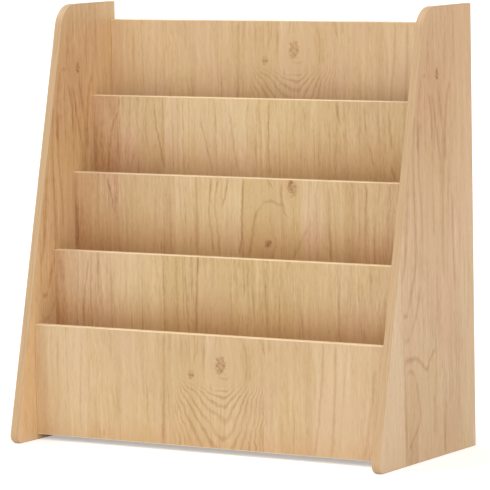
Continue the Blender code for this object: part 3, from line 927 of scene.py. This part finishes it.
def particle_board():
    """Particle board where a bore or a raw end cuts through the foil, made on first use.

    The eye sees pressed chips about 2.2 mm across, each of its own tone, with rough torn edges.
    """
    name = "particle_board_core"
    if name in bpy.data.materials:
        return bpy.data.materials[name]
    foil = bpy.context.scene.shelf_foil
    material, tree, shader = new_material(name)
    place = add(tree, COORDINATES).outputs["Object"]
    chips = add(tree, "ShaderNodeTexVoronoi", {0: place, "Scale": PER_METRE / CHIP_SIZE, "Randomness": 1.0})
    shade = add(tree, RAMP, [add(tree, SEPARATE_COLOUR, [chips.outputs["Color"]])])
    set_stops(shade, [(0.0, foil.grain), (0.45, foil.core), (1.0, foil.pale)])
    relief = add(tree, BUMP, {"Strength": 0.6, "Distance": 0.4 * MM, "Height": chips.outputs["Distance"]})
    connect(tree, shader, {"Base Color": shade, "Roughness": 0.85, "Normal": relief})
    return material


def beech():
    """Turned beech of the dowels.

    The eye sees fine straight grain with short brown flecks, 9 mm long and 0.7 mm wide.
    """
    fittings = bpy.context.scene.shelf_fittings
    foil = bpy.context.scene.shelf_foil
    material, tree, shader = new_material("turned_beech")
    fine = [PER_METRE / size for size in BEECH_FLECK]
    place = add(tree, MAPPING, {0: add(tree, COORDINATES).outputs["Object"], 3: fine})
    grain = add(tree, NOISE, {0: place, "Scale": 1.0, "Detail": 2.0})
    shade = add(tree, RAMP, [grain])
    set_stops(shade, [(0.35, foil.pale), (0.52, fittings.beech), (0.72, foil.grain)])
    relief = add(tree, BUMP, {"Strength": 0.3, "Distance": 0.1 * MM, "Height": grain})
    connect(tree, shader, {"Base Color": shade, "Roughness": 0.62, "Normal": relief})
    return material


def mottled_metal(name, tone, grit, low, high):
    """Cast or plated metal.

    The eye sees a soft mottle of grit millimetres, with spots from low to high roughness.
    """
    material, tree, shader = new_material(name)
    place = add(tree, COORDINATES).outputs["Object"]
    mottle = add(tree, NOISE, {0: place, "Scale": PER_METRE / grit, "Detail": 3.0})
    shade = add(tree, RAMP, [mottle])
    set_stops(shade, shades_of(tone, METAL_SHADES))
    rough = add(tree, MAP_RANGE, [mottle, *MOTTLE_LIMITS, low, high])
    relief = add(tree, BUMP, {"Strength": 0.25, "Distance": 0.05 * MM, "Height": mottle})
    connect(tree, shader, {"Base Color": shade, "Roughness": rough, "Normal": relief, "Metallic": 1.0})
    return material


# Meshes


def helper_object(name, data):
    """An object in the scene, also one that only lends its shape to a piece."""
    helper = bpy.data.objects.new(name, data)
    bpy.context.scene.collection.objects.link(helper)
    return helper


def mesh_object(name, bm, materials):
    """An object with the mesh of a bmesh, which is freed, and some materials."""
    mesh = bpy.data.meshes.new(name)
    bm.to_mesh(mesh)
    bm.free()
    for material in materials:
        mesh.materials.append(material)
    return helper_object(name, mesh)


def plain_mesh(source):
    """Mesh of an object with its modifiers applied; the object is removed."""
    bpy.context.view_layer.update()
    depsgraph = bpy.context.evaluated_depsgraph_get()
    mesh = bpy.data.meshes.new_from_object(
        source.evaluated_get(depsgraph), preserve_all_data_layers=True, depsgraph=depsgraph
    )
    bpy.data.objects.remove(source, do_unlink=True)
    return mesh


def finish_piece(name, mesh, nodes):
    """Add a finished mesh to the scene as the piece that stands for some nodes of the frame."""
    mesh.name = name
    mesh.shade_smooth()
    mesh.set_sharp_from_angle(angle=SHARP_FROM)
    shaped = helper_object(f"{name}_shaded", mesh)
    evened = shaped.modifiers.new("Even shading", "WEIGHTED_NORMAL")
    evened.keep_sharp = True
    piece = helper_object(f"dressed_{name}", plain_mesh(shaped))
    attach(piece, "root")
    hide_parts(*nodes)


def bores_along(board, fittings, axis, core):
    """Drills, as one cutter, for the fittings that enter a board along an axis."""
    boards = bpy.context.scene.shelf_boards
    board_low, board_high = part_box(board)
    facing = Vector([1.0 if i == axis else 0.0 for i in range(3)]).to_track_quat("Z", "Y")
    turned = facing.to_matrix().to_4x4() @ Matrix.Rotation(BORE_TURN, 4, "Z")
    bm = bmesh.new()
    for fitting in fittings:
        low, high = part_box(fitting)
        if any(high[i] < board_low[i] or low[i] > board_high[i] for i in range(3)):
            continue
        middle = (low + high) / 2
        size = high - low
        radius = max(size[i] for i in range(3) if i != axis) / 2 + boards.bore_gap
        start = low[axis] - boards.bore_gap
        end = high[axis] + boards.bore_gap
        if start < board_low[axis] + BORE_MOUTH:
            start = board_low[axis] - BORE_OVERSHOOT
        if end > board_high[axis] - BORE_MOUTH:
            end = board_high[axis] + BORE_OVERSHOOT
        middle[axis] = (start + end) / 2
        bmesh.ops.create_cone(
            bm,
            cap_ends=True,
            segments=boards.bore_sides,
            radius1=radius,
            radius2=radius,
            depth=end - start,
            matrix=Matrix.Translation(middle) @ turned,
        )
    return mesh_object(f"{board}_bores", bm, [core])


def round_and_drill(blank, cutters):
    """Mesh of a board with its edges rounded and its bores drilled."""
    boards = bpy.context.scene.shelf_boards
    bevel = blank.modifiers.new("Rounded edges", "BEVEL")
    bevel.width = boards.edge_radius
    bevel.segments = boards.edge_steps
    bevel.limit_method = "ANGLE"
    bevel.angle_limit = ROUNDED_FROM
    bevel.material = BAND_SLOT
    for cutter in cutters:
        drill = blank.modifiers.new("Bores", "BOOLEAN")
        drill.operation = "DIFFERENCE"
        drill.solver = "EXACT"
        drill.material_mode = "TRANSFER"
        drill.object = cutter
    mesh = plain_mesh(blank)
    for cutter in cutters:
        bpy.data.objects.remove(cutter, do_unlink=True)
    return mesh


def box_board(board, finishes, raw_axes):
    """Blank of a straight board: foil on its broad faces, edge band or raw core on its narrow ones."""
    low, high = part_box(board)
    size = high - low
    thin = min(range(3), key=lambda i: size[i])
    bm = bmesh.new()
    extent = Matrix.Diagonal((*size, 1.0))
    bmesh.ops.create_cube(bm, size=1.0, matrix=Matrix.Translation((low + high) / 2) @ extent)
    for face in bm.faces:
        axis = max(range(3), key=lambda i: abs(face.normal[i]))
        narrow_slot = CORE_SLOT if axis in raw_axes else BAND_SLOT
        face.material_index = FOIL_SLOT if axis == thin else narrow_slot
    return mesh_object(f"{board}_blank", bm, finishes)


def grow(points, tree, values, name):
    """Object whose shape a geometry tree makes of some points, with its named inputs set."""
    mesh = bpy.data.meshes.new(name)
    mesh.from_pydata(points, [], [])
    seed = helper_object(name, mesh)
    modifier = seed.modifiers.new(name, "NODES")
    modifier.node_group = tree
    for item in tree.interface.items_tree:
        if item.item_type == "SOCKET" and item.in_out == "INPUT" and item.name in values:
            modifier[item.identifier] = values[item.name]
    return seed


def grow_fittings(name, nodes, tree, values):
    """Finish like fittings as one piece, grown on the middles of their nodes."""
    middles = [(low + high) / 2 for low, high in map(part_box, nodes)]
    finish_piece(name, plain_mesh(grow(middles, tree, values, f"{name}_grown")), nodes)


# Geometry trees


def new_tree(name, lengths, counts, materials):
    """A geometry tree with a geometry input and output and named inputs, as (tree, its input node)."""
    tree = bpy.data.node_groups.new(name, "GeometryNodeTree")
    tree.interface.new_socket("Geometry", in_out="INPUT", socket_type="NodeSocketGeometry")
    for kind, labels in {"Float": lengths, "Int": counts, "Material": materials}.items():
        for label in labels:
            tree.interface.new_socket(label, in_out="INPUT", socket_type=f"NodeSocket{kind}")
    tree.interface.new_socket("Geometry", in_out="OUTPUT", socket_type="NodeSocketGeometry")
    return tree, add(tree, "NodeGroupInput")


def end_tree(tree, geometry, material, where=True):
    """Close a geometry tree with real geometry, in a material on the faces that where picks."""
    real = add(tree, "GeometryNodeRealizeInstances", [geometry])
    finished = add(tree, SET_MATERIAL, {0: real, "Selection": where, "Material": material})
    add(tree, "NodeGroupOutput", [finished])


def side_panel_tree():
    """Side panel by rule: a leaning front edge between two round corners, given its thickness."""
    lengths = ["Front", "Back", "Left Face", "Height", "Thickness", "Front Lean", "Top Corner", "Foot Corner"]
    tree, given = new_tree("Side panel", lengths, ["Corner Steps"], ["Foil", "Edge Band"])
    size = given.outputs
    sine = add(tree, MATH, [size["Front Lean"]], operation="SINE")
    cosine = add(tree, MATH, [size["Front Lean"]], operation="COSINE")
    tangent = add(tree, MATH, [sine, cosine], operation="DIVIDE")
    # The front line touches the foot's round, so its sharp corner lies a little in front of the panel
    one_more = add(tree, MATH, [sine, 1.0], operation="ADD")
    reach = add(tree, MATH, [one_more, cosine], operation="DIVIDE")
    past = add(tree, MATH, [reach, 1.0], operation="SUBTRACT")
    ahead = add(tree, MATH, [past, size["Foot Corner"]], operation="MULTIPLY")
    foot_front = add(tree, MATH, [size["Front"], ahead], operation="SUBTRACT")
    top_front = add(tree, MATH, [size["Height"], tangent, foot_front], operation="MULTIPLY_ADD")
    corners = {
        "Point 1": add(tree, COMBINE, [foot_front]),
        "Point 2": add(tree, COMBINE, [size["Back"]]),
        "Point 3": add(tree, COMBINE, [size["Back"], size["Height"]]),
        "Point 4": add(tree, COMBINE, [top_front, size["Height"]]),
    }
    outline = add(tree, "GeometryNodeCurvePrimitiveQuadrilateral", corners, mode="POINTS")
    # The first corner is the foot's and the last one the top's; those at the back stay square
    index = add(tree, INDEX)
    margin = 0.1
    at_foot = add(tree, MATH, [index, 0, margin], operation="COMPARE")
    at_top = add(tree, MATH, [index, len(corners) - 1, margin], operation="COMPARE")
    foot_radius = add(tree, MATH, [at_foot, size["Foot Corner"]], operation="MULTIPLY")
    radius = add(tree, MATH, [at_top, size["Top Corner"], foot_radius], operation="MULTIPLY_ADD")
    rounding = {"Curve": outline, "Count": size["Corner Steps"], "Radius": radius}
    rounded = add(tree, "GeometryNodeFilletCurve", rounding, mode="POLY")
    filled = add(tree, "GeometryNodeFillCurve", {"Curve": rounded}, mode="NGONS")
    face = add(tree, MERGE, {0: filled, "Distance": BOARD_WELD})
    foil_face = add(tree, SET_MATERIAL, {0: face, "Material": size["Foil"]})
    outward = {"Mesh": foil_face, "Offset Scale": size["Thickness"], "Individual": False}
    walls = add(tree, "GeometryNodeExtrudeMesh", outward)
    joined = add(tree, "GeometryNodeJoinGeometry")
    for half in (walls, add(tree, "GeometryNodeFlipFaces", [foil_face])):
        connect(tree, joined, [half])
    closed = add(tree, MERGE, {0: joined, "Distance": BOARD_WELD})
    place = add(tree, COMBINE, [size["Left Face"]])
    upright = Euler((math.pi / 2, 0, math.pi / 2))
    stood = add(tree, TRANSFORM, {0: closed, "Translation": place, "Rotation": upright})
    end_tree(tree, stood, size["Edge Band"], walls.outputs["Side"])
    return tree


def chamfered_rod(tree, ring, reach, radius, chamfer):
    """Round rod along X with bevelled ends, drawn from a ring of the same radius."""
    # Each end has one station at the tip and one where its chamfer ends
    axis = add(tree, RESAMPLE, {0: add(tree, LINE), "Count": ROD_STATIONS}, mode="COUNT")
    station = add(tree, MATH, [add(tree, INDEX), (ROD_STATIONS - 1) / 2], operation="SUBTRACT")
    distance = add(tree, MATH, [station], operation="ABSOLUTE")
    inner = add(tree, MATH, [distance, 1.0], operation="LESS_THAN")
    half = add(tree, MATH, [reach, 0.5], operation="MULTIPLY")
    step_in = add(tree, MATH, [inner, chamfer], operation="MULTIPLY")
    out = add(tree, MATH, [half, step_in], operation="SUBTRACT")
    side = add(tree, MATH, [station], operation="SIGN")
    x = add(tree, MATH, [side, out], operation="MULTIPLY")
    placed = add(tree, SET_POSITION, {0: axis, "Position": add(tree, COMBINE, [x])})
    lost = add(tree, MATH, [chamfer, radius], operation="DIVIDE")
    tip = add(tree, MATH, [1.0, lost], operation="SUBTRACT")
    taper = add(tree, MIX, {0: inner, 2: tip, 3: 1.0}, data_type="FLOAT")
    swept = {"Curve": placed, "Profile Curve": ring, "Scale": taper, "Fill Caps": True}
    return add(tree, CURVE_TO_MESH, swept)


def half_turn_on_left(tree):
    """Half a turn for the points left of the middle, in radians."""
    where = add(tree, SEPARATE, [add(tree, POSITION)])
    on_left = add(tree, MATH, [where, 0.0], operation="LESS_THAN")
    return add(tree, MATH, [on_left, math.pi], operation="MULTIPLY")


def dowel_tree():
    """Fluted dowels with chamfered ends, lying along X on the given points."""
    tree, given = new_tree("Dowels", ["Length", "Radius", "Chamfer", "Flute Depth"], ["Flutes"], ["Wood"])
    size = given.outputs
    steps = add(tree, MATH, [size["Flutes"], STEPS_PER_FLUTE], operation="MULTIPLY")
    ring = add(tree, CIRCLE, {"Resolution": steps, "Radius": size["Radius"]}, mode="RADIUS")
    swing = add(tree, MATH, [add(tree, INDEX), math.tau / STEPS_PER_FLUTE], operation="MULTIPLY")
    wave = add(tree, MATH, [swing], operation="COSINE")
    groove = add(tree, MATH, [wave, 0.0], operation="MAXIMUM")
    cut = add(tree, MATH, [size["Flute Depth"], size["Radius"]], operation="DIVIDE")
    share = add(tree, MATH, [groove, cut], operation="MULTIPLY")
    keep = add(tree, MATH, [1.0, share], operation="SUBTRACT")
    around = add(tree, VECTOR_MATH, {0: add(tree, POSITION), 3: keep}, operation="SCALE")
    fluted = add(tree, SET_POSITION, {0: ring, "Position": around})
    body = chamfered_rod(tree, fluted, size["Length"], size["Radius"], size["Chamfer"])
    end_tree(tree, add(tree, ON_POINTS, {0: given, "Instance": body}), size["Wood"])
    return tree


def cam_tree():
    """Cams on the given points, facing +Y, with a cross in the rear face and a hole for the bolt's head."""
    lengths = ["Radius", "Height", "Chamfer", "Cross Length", "Cross Width", "Cross Depth", "Hole Radius"]
    tree, given = new_tree("Cams", lengths, [], ["Metal"])
    size = given.outputs
    ring = add(tree, CIRCLE, {"Resolution": CAM_SIDES, "Radius": size["Radius"]}, mode="RADIUS")
    rod = chamfered_rod(tree, ring, size["Height"], size["Radius"], size["Chamfer"])
    shape = add(tree, TRANSFORM, {0: rod, "Rotation": Euler((0, -math.pi / 2, 0))})
    deep = add(tree, MATH, [size["Cross Depth"], 2.0], operation="MULTIPLY")
    half = add(tree, MATH, [size["Height"], 0.5], operation="MULTIPLY")
    up = add(tree, COMBINE, {2: half})
    for first, second in (("Cross Length", "Cross Width"), ("Cross Width", "Cross Length")):
        extent = add(tree, COMBINE, [size[first], size[second], deep])
        bar = add(tree, "GeometryNodeMeshCube", {"Size": extent})
        raised = add(tree, TRANSFORM, {0: bar, "Translation": up})
        shape = add(tree, MESH_BOOLEAN, {"Mesh 1": shape, "Mesh 2": raised}, **CUT)
    hole = {"Vertices": CAM_HOLE_SIDES, "Radius": size["Hole Radius"], "Depth": size["Radius"]}
    drill = add(tree, "GeometryNodeMeshCylinder", hole, fill_type="NGON")
    out = add(tree, COMBINE, [size["Radius"]])
    laid = add(tree, TRANSFORM, {0: drill, "Translation": out, "Rotation": Euler((0, math.pi / 2, 0))})
    bored = add(tree, MESH_BOOLEAN, {"Mesh 1": shape, "Mesh 2": laid}, **CUT)
    welded = add(tree, MERGE, {0: bored, "Distance": CAM_WELD})
    # Turned so that the cross faces the rear and the hole faces the nearer side panel
    facing = add(tree, TRANSFORM, {0: welded, "Rotation": Euler((-math.pi / 2, 0, 0))})
    turn = add(tree, COMBINE, {1: half_turn_on_left(tree)})
    copies = add(tree, ON_POINTS, {0: given, "Instance": facing, "Rotation": turn})
    end_tree(tree, copies, size["Metal"])
    return tree


def bolt_tree():
    """Cam bolts along X on the given points, threaded end outwards."""
    tree, given = new_tree("Cam bolts", ["Length", "Radius"], ["Thread Ridges"], ["Metal"])
    size = given.outputs
    ring = add(tree, CIRCLE, {"Resolution": BOLT_SIDES, "Radius": size["Radius"]}, mode="RADIUS")
    half = add(tree, MATH, [size["Length"], 0.5], operation="MULTIPLY")
    start = add(tree, COMBINE, [half])
    end = add(tree, VECTOR_MATH, {0: start, 3: -1.0}, operation="SCALE")
    line = add(tree, LINE, {"Start": start, "End": end})
    axis = add(tree, RESAMPLE, {0: line, "Count": BOLT_STATIONS}, mode="COUNT")
    share = add(tree, "GeometryNodeSplineParameter")
    turned = add(tree, "ShaderNodeFloatCurve", {"Value": share})
    set_curve(turned.mapping.curves[0], BOLT_PROFILE, "VECTOR")
    turned.mapping.update()
    ridge = add(tree, MATH, [size["Thread Ridges"], math.tau / THREAD_END], operation="MULTIPLY")
    swing = add(tree, MATH, [share, ridge], operation="MULTIPLY")
    wave = add(tree, MATH, [swing], operation="SINE")
    on_thread = add(tree, MATH, [share, THREAD_END], operation="LESS_THAN")
    crest = add(tree, MATH, [wave, on_thread], operation="MULTIPLY")
    profile = add(tree, MATH, [crest, THREAD_CREST, turned], operation="MULTIPLY_ADD")
    swept = {"Curve": axis, "Profile Curve": ring, "Scale": profile, "Fill Caps": True}
    turn = add(tree, COMBINE, {2: half_turn_on_left(tree)})
    body = add(tree, CURVE_TO_MESH, swept)
    copies = add(tree, ON_POINTS, {0: given, "Instance": body, "Rotation": turn})
    end_tree(tree, copies, size["Metal"])
    return tree


# Operators


class SHELF_OT_side_panels(bpy.types.Operator):
    """Make the two side panels"""

    bl_idname = "shelf.side_panels"
    bl_label = "Side Panels"

    def execute(self, context):
        boards = context.scene.shelf_boards
        band = edge_band("light_oak_edge_band_sides", "X", context.scene.shelf_foil.side_edge)
        core = particle_board()
        tree = side_panel_tree()
        for name in SIDE_PANELS:
            low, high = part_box(name)
            foil = oak_foil(f"light_oak_foil_{name}", SIDE_PRINTS[name], across="Y", top=high.z)
            values = {
                "Front": low.y,
                "Back": high.y,
                "Left Face": low.x,
                "Height": high.z - low.z,
                "Thickness": high.x - low.x,
                "Front Lean": boards.front_lean,
                "Top Corner": boards.top_corner,
                "Foot Corner": boards.foot_corner,
                "Corner Steps": boards.corner_steps,
                "Foil": foil,
                "Edge Band": band,
            }
            blank = grow([], tree, values, f"{name}_blank")
            # The bevel takes its material only from slots that the blank's own mesh has
            for finish in (foil, band, core):
                blank.data.materials.append(finish)
            cutter = bores_along(name, DOWELS + CAM_BOLTS, X, core)
            finish_piece(name, round_and_drill(blank, [cutter]), [name])
        return {"FINISHED"}


class SHELF_OT_uprights(bpy.types.Operator):
    """Make the front panel, the dividers and the back panel"""

    bl_idname = "shelf.uprights"
    bl_label = "Upright Boards"

    def execute(self, context):
        # The uprights' edge band is paler, partly as painted light on their top edges
        band = edge_band("light_oak_edge_band_uprights", "Y", context.scene.shelf_foil.top_edge_with_painted_light)
        core = particle_board()
        for name, look in zip(UPRIGHTS, UPRIGHT_PRINTS):
            foil = oak_foil(f"light_oak_foil_{name}", look, top=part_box(name)[1].z)
            blank = box_board(name, (foil, band, core), raw_axes=[X])
            cutters = [bores_along(name, DOWELS + CAM_BOLTS, X, core), bores_along(name, CAMS, Y, core)]
            finish_piece(name, round_and_drill(blank, cutters), [name])
        return {"FINISHED"}


class SHELF_OT_pocket_floors(bpy.types.Operator):
    """Make the floor boards of the pockets"""

    bl_idname = "shelf.pocket_floors"
    bl_label = "Pocket Floors"

    def execute(self, context):
        foil = oak_foil("light_oak_foil_floors", FLOOR_PRINT, across="Y", along="X")
        band = edge_band("light_oak_edge_band_floors", "Z", context.scene.shelf_foil.top_edge_with_painted_light)
        core = particle_board()
        for name in POCKET_FLOORS:
            blank = box_board(name, (foil, band, core), raw_axes=[X, Y])
            cutters = [bores_along(name, DOWELS, X, core)]
            finish_piece(name, round_and_drill(blank, cutters), [name])
        return {"FINISHED"}


class SHELF_OT_dowels(bpy.types.Operator):
    """Make the fluted dowels"""

    bl_idname = "shelf.dowels"
    bl_label = "Dowels"

    def execute(self, context):
        fittings = context.scene.shelf_fittings
        low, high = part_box(DOWELS[0])
        values = {
            "Length": high.x - low.x,
            "Radius": (high.z - low.z) / 2,
            "Chamfer": fittings.dowel_chamfer,
            "Flutes": fittings.flutes,
            "Flute Depth": fittings.flute_depth,
            "Wood": beech(),
        }
        grow_fittings("dowels", DOWELS, dowel_tree(), values)
        return {"FINISHED"}


class SHELF_OT_cams(bpy.types.Operator):
    """Make the cams"""

    bl_idname = "shelf.cams"
    bl_label = "Cams"

    def execute(self, context):
        fittings = context.scene.shelf_fittings
        low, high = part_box(CAMS[0])
        bolt_low, bolt_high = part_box(CAM_BOLTS[0])
        values = {
            "Radius": (high.x - low.x) / 2,
            "Height": high.y - low.y,
            "Chamfer": fittings.cam_chamfer,
            "Cross Length": fittings.cross_length,
            "Cross Width": fittings.cross_width,
            "Cross Depth": fittings.cross_depth,
            "Hole Radius": (bolt_high.z - bolt_low.z) / 2 * SHANK_SHARE,
            "Metal": mottled_metal("cast_zinc", fittings.zinc, grit=0.9, low=0.34, high=0.56),
        }
        grow_fittings("cams", CAMS, cam_tree(), values)
        return {"FINISHED"}


class SHELF_OT_cam_bolts(bpy.types.Operator):
    """Make the cam bolts"""

    bl_idname = "shelf.cam_bolts"
    bl_label = "Cam Bolts"

    def execute(self, context):
        fittings = context.scene.shelf_fittings
        low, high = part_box(CAM_BOLTS[0])
        values = {
            "Length": high.x - low.x,
            "Radius": (high.z - low.z) / 2,
            "Thread Ridges": fittings.thread_ridges,
            "Metal": mottled_metal("zinc_plated_steel", fittings.steel, grit=1.6, low=0.22, high=0.4),
        }
        grow_fittings("cam_bolts", CAM_BOLTS, bolt_tree(), values)
        return {"FINISHED"}


class SHELF_OT_stage(bpy.types.Operator):
    """Make the floor, the lamps, the sky and the camera"""

    bl_idname = "shelf.stage"
    bl_label = "Stage"

    def execute(self, context):
        stage = context.scene.shelf_stage
        self.make_floor(stage)
        self.make_sky(context.scene, stage)
        self.make_softboxes(stage)
        self.make_camera(context.scene, stage)
        context.scene.view_settings.view_transform = "Standard"
        return {"FINISHED"}

    def seen_directly(self, tree):
        """One for rays from the camera, in reflections and through glass, else zero."""
        path = add(tree, "ShaderNodeLightPath")
        seen = path.outputs["Is Camera Ray"]
        for kind in ("Is Glossy Ray", "Is Transmission Ray"):
            seen = add(tree, MATH, [seen, path.outputs[kind]], operation="MAXIMUM")
        return seen

    def make_floor(self, stage):
        """Pale matte floor that shows white to the camera and in reflections, and keeps the shadow."""
        material, tree, shader = new_material("matte_studio_floor")
        lift = add(tree, MATH, [self.seen_directly(tree), stage.floor_lift], operation="MULTIPLY")
        looks = {
            "Base Color": (*stage.floor, 1.0),
            "Roughness": 1.0,
            "Specular IOR Level": 0.0,
            "Emission Color": WHITE,
            "Emission Strength": lift,
        }
        connect(tree, shader, looks)
        bm = bmesh.new()
        bmesh.ops.create_grid(bm, x_segments=1, y_segments=1, size=STUDIO_HALF)
        mesh_object("studio_floor", bm, [material])

    def make_softboxes(self, stage):
        """Three wide lamps, far enough away to light every place on the floor alike."""
        for name, setting, tilt, turn in SOFTBOXES:
            lamp = bpy.data.lights.new(name, "SUN")
            lamp.energy = getattr(stage, setting)
            lamp.angle = stage.softbox_spread
            softbox = helper_object(name, lamp)
            softbox.location = (0.0, 0.0, SOFTBOX_HEIGHT)
            softbox.rotation_euler = Euler((math.radians(tilt), 0.0, math.radians(turn)))

    def make_sky(self, scene, stage):
        """Even light from all round, which shows white to the camera and in reflections."""
        world = bpy.data.worlds.new("studio_sky")
        world.use_nodes = True
        tree = world.node_tree
        strength = add(tree, MAP_RANGE, {0: self.seen_directly(tree), 3: stage.sky_level, 4: 1.0})
        connect(tree, tree.nodes["Background"], {"Color": WHITE, "Strength": strength})
        scene.world = world

    def make_camera(self, scene, stage):
        """Camera at the photograph's viewing angle."""
        turn, rise, roll = stage.camera_turn, stage.camera_rise, stage.camera_roll
        level_back = Vector((math.sin(turn), -math.cos(turn), 0.0))
        back = math.cos(rise) * level_back + Vector((0.0, 0.0, math.sin(rise)))
        right = (-back).cross(Vector((0, 0, 1))).normalized()
        up = right.cross(-back)
        tilted_right = math.cos(roll) * right + math.sin(roll) * up
        tilted_up = math.cos(roll) * up - math.sin(roll) * right
        data = bpy.data.cameras.new("camera")
        data.sensor_width = SENSOR_WIDTH
        data.lens = stage.lens
        data.clip_end = CAMERA_REACH
        camera = helper_object("camera", data)
        turned = Matrix((tilted_right, tilted_up, back)).transposed().to_4x4()
        camera.matrix_world = Matrix.Translation(CAMERA_TARGET + back * stage.camera_distance) @ turned
        scene.camera = camera


STEPS = [
    SHELF_OT_stage,
    SHELF_OT_side_panels,
    SHELF_OT_uprights,
    SHELF_OT_pocket_floors,
    SHELF_OT_dowels,
    SHELF_OT_cams,
    SHELF_OT_cam_bolts,
]


class SHELF_PT_sidebar(bpy.types.Panel):
    """Lists the shelf's settings and the steps that make it"""

    bl_idname = "SHELF_PT_sidebar"
    bl_label = "Book Shelf"
    bl_space_type = "VIEW_3D"
    bl_region_type = "UI"
    bl_category = "Book Shelf"

    def draw(self, context):
        for pointer, group in SETTINGS.items():
            box = self.layout.box()
            for name in group.__annotations__:
                box.prop(getattr(context.scene, pointer), name)
        for step in STEPS:
            self.layout.operator(step.bl_idname)


CLASSES = [*SETTINGS.values(), *STEPS, SHELF_PT_sidebar]


def register():
    """Add the classes, and the settings to the scene."""
    for cls in CLASSES:
        bpy.utils.register_class(cls)
    for pointer, group in SETTINGS.items():
        setattr(bpy.types.Scene, pointer, bpy.props.PointerProperty(type=group))


def unregister():
    """Remove the settings and the classes."""
    for pointer in SETTINGS:
        delattr(bpy.types.Scene, pointer)
    for cls in reversed(CLASSES):
        bpy.utils.unregister_class(cls)


def main():
    """Register the add-on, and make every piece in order."""
    register()
    bpy.ops.shelf.stage()
    bpy.ops.shelf.side_panels()
    bpy.ops.shelf.uprights()
    bpy.ops.shelf.pocket_floors()
    bpy.ops.shelf.dowels()
    bpy.ops.shelf.cams()
    bpy.ops.shelf.cam_bolts()


if __name__ == "__main__":
    main()
